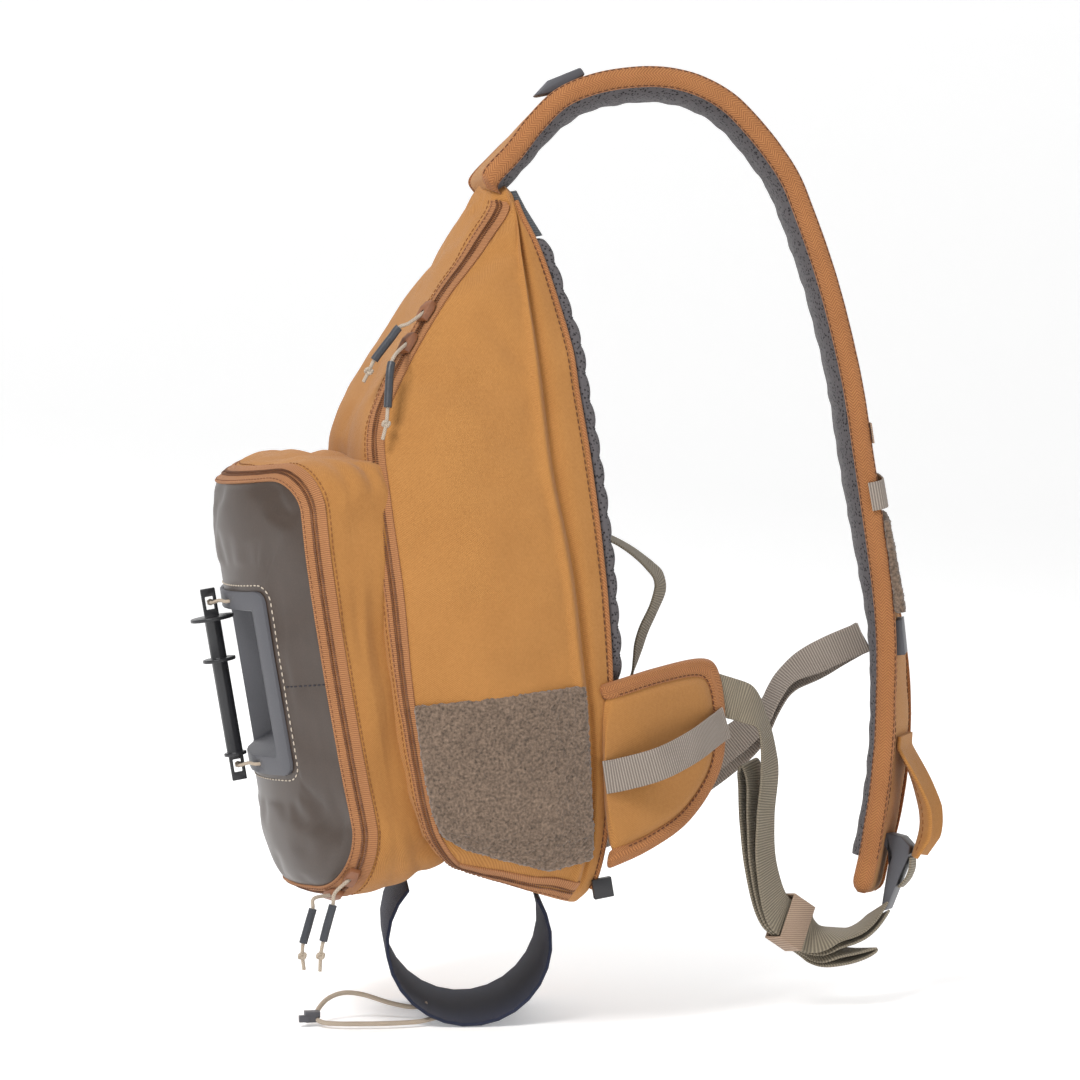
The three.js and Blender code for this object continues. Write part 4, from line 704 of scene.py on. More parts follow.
@dataclass(frozen=True)
class Seam:
    """A row of stitches."""

    pitch: float = 0.0042
    share: float = 0.72
    thick: float = 0.0008

    def sew(self, name: str, line: Array, normals: Array, finish: Finish) -> bpy.types.Object:
        """Sews stitches along a line.

        Args:
            name: The piece's name.
            line: The places along it.
            normals: The surface's direction at each place.
            finish: The thread's finish.

        Returns:
            The new piece.
        """
        count = max(3, int(length_of(line) / self.pitch))
        both = even_line(np.concatenate([line, normals], axis=1), count * 2 + 1)
        at, up = both[1::2, :3], unit(both[1::2, 3:])
        along = unit(both[2::2, :3] - both[:-1:2, :3])
        side = unit(np.cross(up, along))
        axes = [along * self.pitch * self.share, side * self.thick, up * self.thick]
        piece = repeated(name, barrel(), at + up * self.thick * 0.2, axes)
        return dress(piece, finish)


PLAIN_SEAM = Seam()
FINE_SEAM = Seam(pitch=0.0036)
TAPE_SEAM = Seam(pitch=0.003, share=0.7, thick=0.0006)
PLATE_SEAM = Seam(pitch=0.0042, share=0.62, thick=0.0009)
PANEL_SEAM = Seam(pitch=0.0036, share=0.62, thick=0.0009)
PAD_SEAM = Seam(pitch=0.0042, share=0.7, thick=0.0007)


def turn_out(piece: bpy.types.Object, heart: Sequence[float]) -> None:
    """Turns an open piece's faces away from a place inside it."""
    mesh = bmesh.new()
    mesh.from_mesh(piece.data)
    mesh.normal_update()
    middle = Vector(heart)
    turned = sum(f.normal.dot(f.calc_center_median() - middle) * f.calc_area() for f in mesh.faces)
    if turned < 0:
        bmesh.ops.reverse_faces(mesh, faces=mesh.faces)
    mesh.to_mesh(piece.data)
    mesh.free()


@dataclass
class Stations:
    """Places along a swept node, with its width and thickness directions."""

    at: Array
    side: Array
    out: Array
    width: Array

    @classmethod
    def of(cls, node: str, corners: int, start: Sequence[float]) -> "Stations":
        """Reads a swept node from one of its ends.

        Args:
            node: The node's name.
            corners: How many corners its section has.
            start: A place near the end where the reading starts.

        Returns:
            Its stations.
        """
        mesh = bmesh.new()
        mesh.from_mesh(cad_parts[node].data)
        bmesh.ops.remove_doubles(mesh, verts=mesh.verts, dist=1e-6)
        mesh.normal_update()

        def is_hub(vertex: bmesh.types.BMVert) -> bool:
            """Whether a vertex is the middle of a flat end."""
            first = vertex.link_faces[0].normal
            flat = all(face.normal.dot(first) > 0.9999 for face in vertex.link_faces)
            return flat and len(vertex.link_edges) == corners

        hubs = [v for v in mesh.verts if is_hub(v)]
        hub = min(hubs, key=lambda v: (v.co - Vector(start)).length)
        seen, layer, rings = {hub}, [hub], []
        while True:
            found = {e.other_vert(v) for v in layer for e in v.link_edges} - seen
            if len(found) != corners:
                break
            seen |= found
            layer = list(found)
            rings.append(np.array([v.co for v in layer]))
        mesh.free()
        centres = np.array([ring.mean(axis=0) for ring in rings])
        first = rings[0] - centres[0]
        side = first[np.argmax(np.linalg.norm(first, axis=1))]
        sides, widths = [], []
        for ring in rings:
            order = np.argsort(ring @ side)
            half = corners // 2
            wide = ring[order[half:]].mean(axis=0) - ring[order[:half]].mean(axis=0)
            widths.append(np.linalg.norm(wide))
            side = wide / widths[-1]
            sides.append(side)
        sides = np.array(sides)
        out = unit(np.cross(tangents(centres), sides))
        return cls(centres, sides, out, np.array(widths))

    def finer(self, count: int) -> "Stations":
        """The same stations, smoothly at another count."""
        rows = np.concatenate([self.at, self.side, self.out, self.width[:, None]], axis=1)
        rows = smooth_rows(rows, count)
        side = unit(rows[:, 3:6])
        out = rows[:, 6:9]
        out = unit(out - side * (out * side).sum(axis=1, keepdims=True))
        return Stations(rows[:, :3], side, out, rows[:, 9])

    def longer(self, first: float = 0.0, last: float = 0.0) -> "Stations":
        """The same stations with a straight step added at either end."""
        parts = [(self.at, self.side, self.out, self.width)]
        if first:
            step = unit(self.at[0] - self.at[1]) * first
            parts.insert(0, (self.at[:1] + step, self.side[:1], self.out[:1], self.width[:1]))
        if last:
            step = unit(self.at[-1] - self.at[-2]) * last
            parts.append((self.at[-1:] + step, self.side[-1:], self.out[-1:], self.width[-1:]))
        return Stations(*(np.concatenate(arrays) for arrays in zip(*parts)))

    def sweep(self, section: Callable[[float], Array] | Array) -> Array:
        """Places of a section of (across, out) carried along the stations.

        Args:
            section: The section's corners, or a function of the share of the length.

        Returns:
            Rows of places.
        """
        rows = []
        last = len(self.at) - 1
        for i in range(last + 1):
            shape = section(i / last) if callable(section) else section
            across, lift = shape[:, :1], shape[:, 1:2]
            rows.append(self.at[i] + self.side[i] * across + self.out[i] * lift)
        return np.array(rows)


def rounded_section(half: float, low: float, high: float, radius: float, steps: int = 3) -> Array:
    """A flat section with rounded corners, from -half to half and low to high."""
    corners = [(half, high, 0), (-half, high, 90), (-half, low, 180), (half, low, 270)]
    points = []
    for x, y, turn in corners:
        centre = (x - math.copysign(radius, x), y - radius if y == high else y + radius)
        for k in range(steps + 1):
            angle = math.radians(turn + 90 * k / steps)
            points.append((centre[0] + radius * math.cos(angle), centre[1] + radius * math.sin(angle)))
        if y == high and x > 0 or y == low and x < 0:
            end = math.copysign(half - radius, -x)
            for share in (0.25, 0.5, 0.75):
                points.append((centre[0] + (end - centre[0]) * share, y))
    return np.array(points)


@dataclass(frozen=True)
class Webbing:
    """A band of ribbed webbing on one of the swept nodes."""

    node: str
    width: float
    start: tuple[float, float, float]
    finish: Finish
    fineness: int = 5
    thick: float = 0.0015
    more: tuple[float, float] = (0.0, 0.0)

    def build(self) -> bpy.types.Object:
        """Builds the band with its rounded selvedges."""
        stations = Stations.of(self.node, 4, self.start).longer(*self.more)
        stations = stations.finer(len(stations.at) * self.fineness)
        section = rounded_section(self.width / 2, -self.thick / 2, self.thick / 2, self.thick * 0.42)
        swell = ripple(stations.at, 0.05, self.width * 1000)
        points = stations.sweep(section)
        points += (stations.out * (swell * 0.0001)[:, None])[:, None, :]
        piece = shaped_grid(self.node + "_band", points)
        smooth_shade(piece, 50)
        return dress(piece, self.finish, self.node)


# The studio


@dataclass(frozen=True)
class Studio:
    """The camera, the lamps and the floor."""

    camera_at: tuple[float, float, float] = (-0.59234, -2.44106, -0.14191)
    azimuth: float = -12.0
    elevation: float = 3.0
    lens: float = 133.33
    sensor: float = 36
    far_clip: float = 50
    target: tuple[float, float, float] = (-0.02, 0, -0.26)
    sky: float = 0.55
    floor_drop: float = 0.0006
    room: float = 6.0
    bend: float = 1.6
    rise: float = 1.2
    glow: float = 0.27

    def back(self) -> Vector:
        """The direction from the bag to the camera."""
        a, e = math.radians(self.azimuth), math.radians(self.elevation)
        return Vector((math.sin(a) * math.cos(e), -math.cos(a) * math.cos(e), math.sin(e)))

    def camera(self) -> None:
        """Sets the camera at the photograph's angle."""
        data = bpy.data.cameras.new("camera")
        data.lens = self.lens
        data.sensor_width = self.sensor
        data.clip_end = self.far_clip
        camera = bpy.data.objects.new("camera", data)
        camera.location = self.camera_at
        camera.rotation_euler = (-self.back()).to_track_quat("-Z", "Y").to_euler()
        bpy.context.scene.collection.objects.link(camera)
        bpy.context.scene.camera = camera

    def lamp(self, name: str, at: Sequence[float], size: float, power: float) -> None:
        """A soft square lamp that looks at the bag."""
        data = bpy.data.lights.new(name, "AREA")
        data.size = size
        data.energy = power
        lamp = bpy.data.objects.new(name, data)
        lamp.location = at
        aim = Vector(self.target) - Vector(at)
        lamp.rotation_euler = aim.to_track_quat("-Z", "Y").to_euler()
        bpy.context.scene.collection.objects.link(lamp)

    def build(self) -> None:
        """Lights the scene and lays its pale floor."""
        self.lamp("key_lamp", (-1.5, -1.5, 1.7), 0.9, 58)
        self.lamp("fill_lamp", (1.7, -1.9, 0.5), 2.0, 6)
        self.lamp("back_lamp", (0.6, 1.9, 1.6), 1.6, 26)
        world = bpy.data.worlds.new("world")
        world.use_nodes = True
        light = world.node_tree.nodes["Background"]
        light.inputs["Color"].default_value = (1, 1, 1, 1)
        light.inputs["Strength"].default_value = self.sky
        bpy.context.scene.world = world
        self.floor()
        bpy.context.scene.view_settings.view_transform = "Standard"

    def floor(self) -> None:
        """Lays the pale floor, which bends up behind the bag."""
        level = CAD_BOX[0].z - self.floor_drop
        profile = [(-self.room, level)]
        profile += [
            (self.room / 2 + self.bend * math.sin(t), level + self.bend * (1 - math.cos(t)))
            for t in np.linspace(0, math.pi / 2, 12)
        ]
        profile.append((profile[-1][0], level + self.bend + self.rise))
        across = np.linspace(-self.room, self.room, 3)
        points = np.array([[(x, y, z) for x in across] for y, z in profile])
        floor = shaped_grid("floor", points, closed=False)
        smooth_shade(floor, 60)
        painter = Painter("pale_floor")
        tint = painter.blend(painter.noise(0.9, 2), (0.93, 0.93, 0.93), (0.95, 0.95, 0.95))
        painter.put(painter.shader.inputs["Base Color"], tint)
        painter.shader.inputs["Roughness"].default_value = 0.95
        painter.shader.inputs["Emission Color"].default_value = (1, 1, 1, 1)
        painter.shader.inputs["Emission Strength"].default_value = self.glow
        floor.data.materials.append(painter.material)


# Free cords

# Chosen points of each free cord, as the solids have them, in metres
SHOCK_ROUTE = [
    (-0.149, -0.020, -0.5585), (-0.158, -0.019, -0.5605), (-0.172, -0.015, -0.558),
    (-0.188, -0.011, -0.553), (-0.200, -0.011, -0.5515), (-0.210, -0.014, -0.554),
    (-0.217, -0.020, -0.559), (-0.220, -0.028, -0.5635), (-0.217, -0.037, -0.565),
    (-0.209, -0.043, -0.565), (-0.198, -0.046, -0.565), (-0.184, -0.048, -0.565),
    (-0.170, -0.048, -0.565), (-0.158, -0.046, -0.5648), (-0.147, -0.043, -0.5632),
]
PULL_ROUTES = {
    "main_upper": [
        (-0.168, -0.066, -0.1375), (-0.174, -0.066, -0.140), (-0.179, -0.065, -0.1465),
        (-0.184, -0.064, -0.153), (-0.189, -0.063, -0.160), (-0.192, -0.063, -0.166),
        (-0.1955, -0.063, -0.173),
    ],
    "main_lower": [
        (-0.1785, -0.079, -0.156), (-0.1815, -0.082, -0.161), (-0.183, -0.084, -0.168),
        (-0.184, -0.086, -0.178), (-0.185, -0.088, -0.188), (-0.186, -0.089, -0.197),
        (-0.1885, -0.090, -0.207),
    ],
    "pocket_near": [
        (-0.228, -0.074, -0.483), (-0.229, -0.075, -0.489), (-0.231, -0.075, -0.496),
        (-0.233, -0.075, -0.503), (-0.235, -0.075, -0.510), (-0.2355, -0.075, -0.517),
        (-0.2345, -0.075, -0.526),
    ],
    "pocket_side": [
        (-0.2175, -0.088, -0.478), (-0.219, -0.089, -0.485), (-0.221, -0.089, -0.492),
        (-0.223, -0.089, -0.499), (-0.225, -0.089, -0.507), (-0.2265, -0.089, -0.515),
        (-0.227, -0.089, -0.525),
    ],
}


@dataclass(frozen=True)
class Cords:
    """The elastic under the sling, and the cords of the zips' pulls."""

    elastic: float = 0.003
    thin: float = 0.0022
    sleeve: float = 0.005
    sides: int = 12
    knot: float = 0.0026
    knot_cord: float = 0.47
    knot_back: int = 7
    elastic_steps: int = 90
    pull_steps: int = 46
    sleeved: tuple[float, float] = (0.3, 0.72)
    uneven: float = 0.02

    def rings(self, line: Array, side: Array, up: Array, radius: Array, sides: int) -> Array:
        """Rings of places round a line, one row for each of its places."""
        turns = np.linspace(0, 2 * math.pi, sides, endpoint=False)
        return np.array([
            at + radius[i] * (np.outer(np.cos(turns), side[i]) + np.outer(np.sin(turns), up[i]))
            for i, at in enumerate(line)
        ])

    def tube(self, name: str, line: Array, diameter: float, lumps: float = 0.0) -> bpy.types.Object:
        """A round tube along a line.

        Args:
            name: The piece's name.
            line: The places along its middle.
            diameter: Its thickness.
            lumps: How far its thickness varies, as a share.

        Returns:
            The new piece.
        """
        along = tangents(line)
        side = unit(np.cross(along, [0.13, 0.97, 0.21]))
        up = np.cross(along, side)
        radius = diameter / 2 * (1 + lumps * ripple(line, 0.02, 1.0))
        piece = shaped_grid(name, self.rings(line, side, up, radius, self.sides))
        smooth_shade(piece, 70)
        return piece

    def knotted(self, name: str, at: Array, along: Array) -> bpy.types.Object:
        """A small overhand knot at a place on a cord."""
        t = np.linspace(0, 2 * math.pi, 36, endpoint=False)
        turn = np.stack([np.sin(t) + 2 * np.sin(2 * t), np.cos(t) - 2 * np.cos(2 * t), -np.sin(3 * t)], 1)
        side = unit(np.cross(along, [0.3, 0.9, 0.2]))
        basis = np.stack([side, np.cross(along, side), along])
        line = at + (turn * [0.42, 0.42, 0.75] * self.knot * 0.62) @ basis
        ways = tangents(line, True)
        sides = unit(np.cross(ways, line - at + 1e-6))
        ups = np.cross(ways, sides)
        radius = np.full(len(line), self.thin * self.knot_cord)
        piece = shaped_grid(name, self.rings(line, sides, ups, radius, 8), looped=True)
        smooth_shade(piece, 70)
        return piece

    def build(self) -> None:
        """Builds every cord with what is on it."""
        line = smooth_rows(SHOCK_ROUTE, self.elastic_steps)
        piece = self.tube("elastic_cord", line, self.elastic, self.uneven)
        dress(piece, CORD, "shock_cord")
        hook = hard_copy("cord_hook", "elastic_hook", SLATE, 0.0006)
        for name, route in PULL_ROUTES.items():
            slider_low, slider_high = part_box(name + "_slider")
            start = np.array((slider_low + slider_high) / 2)
            line = smooth_rows(np.array([start, *route]), self.pull_steps)
            piece = self.tube(name + "_cord", line, self.thin)
            dress(piece, CORD, name + "_pull_cord")
            knot = self.knotted(name + "_knot", line[-self.knot_back], tangents(line)[-self.knot_back])
            dress(knot, CORD)
            first, last = (int(len(line) * share) for share in self.sleeved)
            sleeve = self.tube(name + "_sleeve", line[first:last], self.sleeve, self.uneven)
            dress(sleeve, SLEEVE, name + "_pull_sleeve")


# The compartment

LEVEL_COLUMNS = (
    "front_z", "back_z", "front_x", "zip_x", "zip_w", "tape_x", "tape_w", "fold_x", "fold_w",
    "back_x", "back_w",
)
# A row for each level, in shares of the height, the depth and the half width
LEVELS = np.array([
    (0.009, -0.007, -0.101, -0.065, 0.211, -0.022, 0.272, -0.007, 0.289, 0.007, 0.272),
    (-0.021, -0.039, -0.181, -0.116, 0.254, -0.029, 0.307, 0.000, 0.333, 0.022, 0.316),
    (-0.083, -0.088, -0.341, -0.283, 0.333, -0.196, 0.404, -0.022, 0.439, 0.058, 0.412),
    (-0.144, -0.146, -0.500, -0.471, 0.421, -0.413, 0.509, -0.036, 0.544, 0.080, 0.491),
    (-0.231, -0.231, -0.696, -0.717, 0.509, -0.652, 0.605, -0.058, 0.684, 0.094, 0.632),
    (-0.301, -0.301, -0.848, -0.855, 0.596, -0.790, 0.693, -0.080, 0.772, 0.080, 0.719),
    (-0.398, -0.398, -0.913, -0.906, 0.754, -0.833, 0.825, -0.109, 0.877, 0.065, 0.825),
    (-0.521, -0.521, -0.957, -0.935, 0.851, -0.855, 0.912, -0.109, 0.965, 0.036, 0.904),
    (-0.648, -0.648, -0.986, -0.957, 0.904, -0.891, 0.965, -0.130, 0.991, 0.000, 0.930),
    (-0.764, -0.773, -1.000, -0.957, 0.912, -0.899, 0.974, -0.159, 1.000, -0.058, 0.930),
    (-0.847, -0.898, -0.993, -0.942, 0.904, -0.884, 0.965, -0.225, 0.982, -0.145, 0.921),
    (-0.894, -0.972, -0.928, -0.870, 0.860, -0.812, 0.912, -0.297, 0.930, -0.232, 0.877),
    (-0.917, -1.000, -0.812, -0.768, 0.772, -0.732, 0.807, -0.362, 0.833, -0.312, 0.789),
])

# Places across each strip of half a level, as shares of the strip
STRIPS = (
    [k / 10 for k in range(10)],
    [0, 0.33, 0.67],
    [k * 0.88 / 14 for k in range(15)] + [0.915, 0.94, 0.955, 0.968, 0.98, 0.99],
    [0, 0.06, 0.14, 0.25, 0.4, 0.6, 0.8],
    [k / 6 for k in range(6)],
)


@dataclass
class Compartment:
    """The canvas compartment: a soft shell, its seams and the piping down its back."""

    levels: int = 66
    side_bulge: float = 0.007
    front_bulge: float = 0.004
    lip: float = 0.0035
    valley: float = 0.0055
    piping: float = 0.0017
    wrinkle: float = 0.0008
    foot: tuple = ((0.12, 0.002), (0.35, 0.0035), (0.62, 0.004), (0.86, 0.0045))
    crown: tuple = ((0.8, 0.007), (0.5, 0.006), (0.2, 0.003))
    surface: Surface | None = None

    def rows(self, count: int) -> dict[str, Array]:
        """The named columns of the levels, smoothly at a count."""
        fine = smooth_rows(LEVELS, count)
        return {name: fine[:, k] for k, name in enumerate(LEVEL_COLUMNS)}

    def corner(self, rows: dict[str, Array], x: Array, w: Array) -> Array:
        """Places at a share of the depth and of the half width, on the near side."""
        share = (x - rows["front_x"]) / (rows["back_x"] - rows["front_x"])
        z = rows["front_z"] + (rows["back_z"] - rows["front_z"]) * share
        return np.stack([x * BODY_DEPTH, -w * BODY_HALF, z * BODY_HEIGHT], axis=-1)

    def corners(self, count: int) -> dict[str, Array]:
        """The level's named corners on the near side, one row for each level."""
        rows = self.rows(count)
        zero = np.zeros(count)
        return {
            "front": self.corner(rows, rows["front_x"], zero),
            "zip": self.corner(rows, rows["zip_x"], rows["zip_w"]),
            "tape": self.corner(rows, rows["tape_x"], rows["tape_w"]),
            "fold": self.corner(rows, rows["fold_x"], rows["fold_w"]),
            "back": self.corner(rows, rows["back_x"], rows["back_w"]),
            "middle": self.corner(rows, rows["back_x"], zero),
        }

    def half(self, count: int) -> tuple[Array, Array]:
        """Half of every level's outline, and how firmly each place is sewn."""
        at = self.corners(count)
        rows = self.rows(count)
        names = ["front", "zip", "tape", "fold", "back", "middle"]
        fade = np.clip(np.minimum(np.arange(count) - 2, count - 3 - np.arange(count)) / 8, 0, 1)
        columns, held = [], []
        for k, shares in enumerate(STRIPS):
            for i, share in enumerate(shares):
                p = at[names[k]] + (at[names[k + 1]] - at[names[k]]) * share
                swell = math.sin(math.pi * share)
                if k == 0:
                    p[:, 0] -= self.front_bulge * swell * rows["zip_w"]
                # The side swells, with a raised lip before its fold and a valley in it
                if k == 2:
                    p[:, 1] -= self.side_bulge * swell * rows["fold_w"]
                    p[:, 1] -= fade * self.lip * math.exp(-(((share - 0.955) / 0.03) ** 2))
                    p[:, 1] += fade * self.valley * math.exp(-(((share - 1) / 0.014) ** 2))
                if k == 3:
                    p[:, 1] += fade * self.valley * math.exp(-((share / 0.22) ** 2))
                columns.append(p)
                held.append(1.0 if i == 0 or k in (1, 3, 4) or (k == 2 and share > 0.9) else 0.0)
        columns.append(at["middle"])
        held.append(1.0)
        return np.stack(columns, axis=1), np.array(held)

    def build(self) -> bpy.types.Object:
        """Builds the shell, blows it up softly between its seams and keeps its surface."""
        half, held = self.half(self.levels)
        far = half[:, -2:0:-1] * [1, -1, 1]
        ring = np.concatenate([half, far], axis=1)
        sewn = np.concatenate([held, held[-2:0:-1]])
        grid_held = np.tile(sewn, (self.levels, 1))
        grid_held[:2] = 1.0
        grid_held[-2:] = 1.0
        middle, top = ring[-1].mean(axis=0), ring[0].mean(axis=0)
        closing = [ring[-1] + (middle - ring[-1]) * share - [0, 0, drop] for share, drop in self.foot]
        opening = [ring[0] + (top - ring[0]) * share + [0, 0, rise] for share, rise in self.crown]
        points = np.concatenate([opening, ring, closing])
        wrinkle = ripple(points, 0.11, 2.0) * ripple(points, 0.05, 5.0)
        points[:, :, 1] += np.sign(points[:, :, 1]) * wrinkle * self.wrinkle
        above, below = (np.ones((len(rows), len(sewn))) for rows in (opening, closing))
        grid_held = np.concatenate([above, grid_held, below])
        piece = shaped_grid("compartment", outside(points))
        puff(piece, grid_held.ravel(), pressure=2.2, slack=0.012, cap=0.0045)
        subdivide(piece)
        smooth_shade(piece, 70)
        self.surface = Surface.of(piece)
        dress(piece, CANVAS, "main_shell")
        self.trim()
        return piece

    def trim(self) -> None:
        """Adds the piping down the back edges and the rows of stitches."""
        cords = Cords(sides=10)
        at = self.corners(90)
        for side, name in ((1, "near"), (-1, "far")):
            edge = outside(at["back"][3:84] * [1, side, 1])
            line, normals = self.surface.lay(edge, self.piping * 0.45)
            pipe = cords.tube("back_piping_" + name, line, self.piping * 2)
            dress(pipe, BINDING)
            beside = at["back"] + (at["fold"] - at["back"]) * 0.16
            line, normals = self.surface.lay(outside(beside[4:84] * [1, side, 1]))
            PLAIN_SEAM.sew("back_stitches_" + name, line, normals, DARK_THREAD)
        front = at["zip"] + unit(at["front"] - at["zip"]) * 0.003
        line, normals = self.surface.lay(outside(front[4:82]))
        FINE_SEAM.sew("zip_front_stitches", line, normals, THREAD)


# Zips


@dataclass(frozen=True)
class Zip:
    """A zip laid along a strip: its tape, its coil and its rows of stitches."""

    name: str
    node: str
    lift: float = 0.0005
    thick: float = 0.0011
    tooth: float = 0.0013
    coil_apart: float = 0.0013
    coil_wide: float = 0.0018
    coil_high: float = 0.0011

    def build(self, left: Array, right: Array, normals: Array, is_loop: bool = False) -> None:
        """Builds the zip.

        Args:
            left: The places along its one edge.
            right: The places along its other edge.
            normals: The directions away from the surface.
            is_loop: Whether its end meets its start.
        """
        middle = (left + right) / 2
        across = right - left
        wave = ripple(middle, 0.03, 3.0)[:, None] * 0.0002
        shares = np.array([-0.5, -0.49, -0.4, -0.2, -0.06, -0.035, 0.035, 0.06, 0.2, 0.4, 0.49, 0.5])
        lifts = np.array([0.2, 0.8, 1.0, 1.0, 1.1, 0.35, 0.35, 1.1, 1.0, 1.0, 0.8, 0.2]) * self.thick
        columns = [
            middle + across * share + normals * (self.lift + lift) + normals * wave
            for share, lift in zip(shares, lifts)
        ]
        under = [middle + across * share - normals * 0.0002 for share in (0.48, -0.48)]
        points = np.stack(columns + under, axis=1)
        tape = shaped_grid(self.name + "_tape", points, looped=is_loop)
        smooth_shade(tape, 50)
        dress(tape, TAPE, self.node)
        count = int(length_of(middle) / self.tooth)
        wanted = [middle, across, normals]
        rows = np.concatenate([np.concatenate([w, w[:1]]) if is_loop else w for w in wanted], axis=1)
        even = even_line(rows, count + 1)[:-1]
        at, side, up = even[:, :3], even[:, 3:6], unit(even[:, 6:9])
        along = tangents(at, is_loop)
        width = np.linalg.norm(side, axis=1, keepdims=True)
        side = side / width
        for sign, word in ((-1, "left"), (1, "right")):
            spot = at + side * sign * self.coil_apart + up * (self.lift + self.thick * 1.25)
            lean = unit(side + along * sign * 0.25)
            axes = [lean * self.coil_wide, along * self.tooth * 0.6, up * self.coil_high]
            coil = repeated(f"{self.name}_coil_{word}", barrel(5), spot, axes)
            dress(coil, COIL)
        edges = middle + across * 0.4 + normals * (self.lift + self.thick * 1.02)
        TAPE_SEAM.sew(self.name + "_stitches", edges, normals, TAPE_THREAD)


@dataclass
class MainZip:
    """The long zip down the near side and back along its hem."""

    body: Compartment
    count: int = 150
    pivot_in: float = 0.1
    pivot_out: float = 0.12
    # Shares of the way back along the hem, with how far the side swells there
    hem_steps: tuple = ((0.25, 0.75), (0.5, 1), (0.75, 0.75), (1.0, 0))

    def edges(self) -> list[tuple[Array, Array]]:
        """Pairs of places on the zip's two edges: down the levels, round a pivot and along the hem."""
        at = self.body.corners(len(LEVELS))
        zips, tapes, folds = at["zip"], at["tape"], at["fold"]
        above, hem, foot = (len(LEVELS) - back for back in (3, 2, 1))
        pairs = [(tapes[k], zips[k]) for k in range(hem)]
        pairs[0] = tuple((pairs[0][k] + pairs[1][k]) / 2 for k in (0, 1))
        rows = []
        for level in (hem, foot):
            bulge = self.body.side_bulge * LEVELS[level, LEVEL_COLUMNS.index("fold_w")]
            rows.append([
                tapes[level] + (folds[level] - tapes[level]) * share - [0, bulge * swell, 0]
                for share, swell in self.hem_steps
            ])
        pivot = tapes[hem]
        pairs.append((pivot + (tapes[above] - pivot) * self.pivot_in, zips[hem]))
        pairs.append((pivot, zips[foot]))
        pairs.append((pivot + (rows[0][0] - pivot) * self.pivot_out, tapes[foot]))
        return pairs + list(zip(*rows))

    def build(self) -> None:
        """Lays the zip on the compartment."""
        pairs = self.edges()
        left = smooth_rows([p[0] for p in pairs], self.count)
        right = smooth_rows([p[1] for p in pairs], self.count)
        middle = outside((left + right) / 2)
        _, normals = self.body.surface.lay(middle)
        left, _ = self.body.surface.lay(outside(left))
        right, _ = self.body.surface.lay(outside(right))
        across = unit(right - left)
        normals = unit(normals - across * (normals * across).sum(axis=1, keepdims=True))
        for _ in range(4):
            normals[1:-1] = unit(normals[:-2] + normals[1:-1] * 2 + normals[2:])
        Zip("main_zip", "main_zip").build(left, right, normals)


# The front pocket


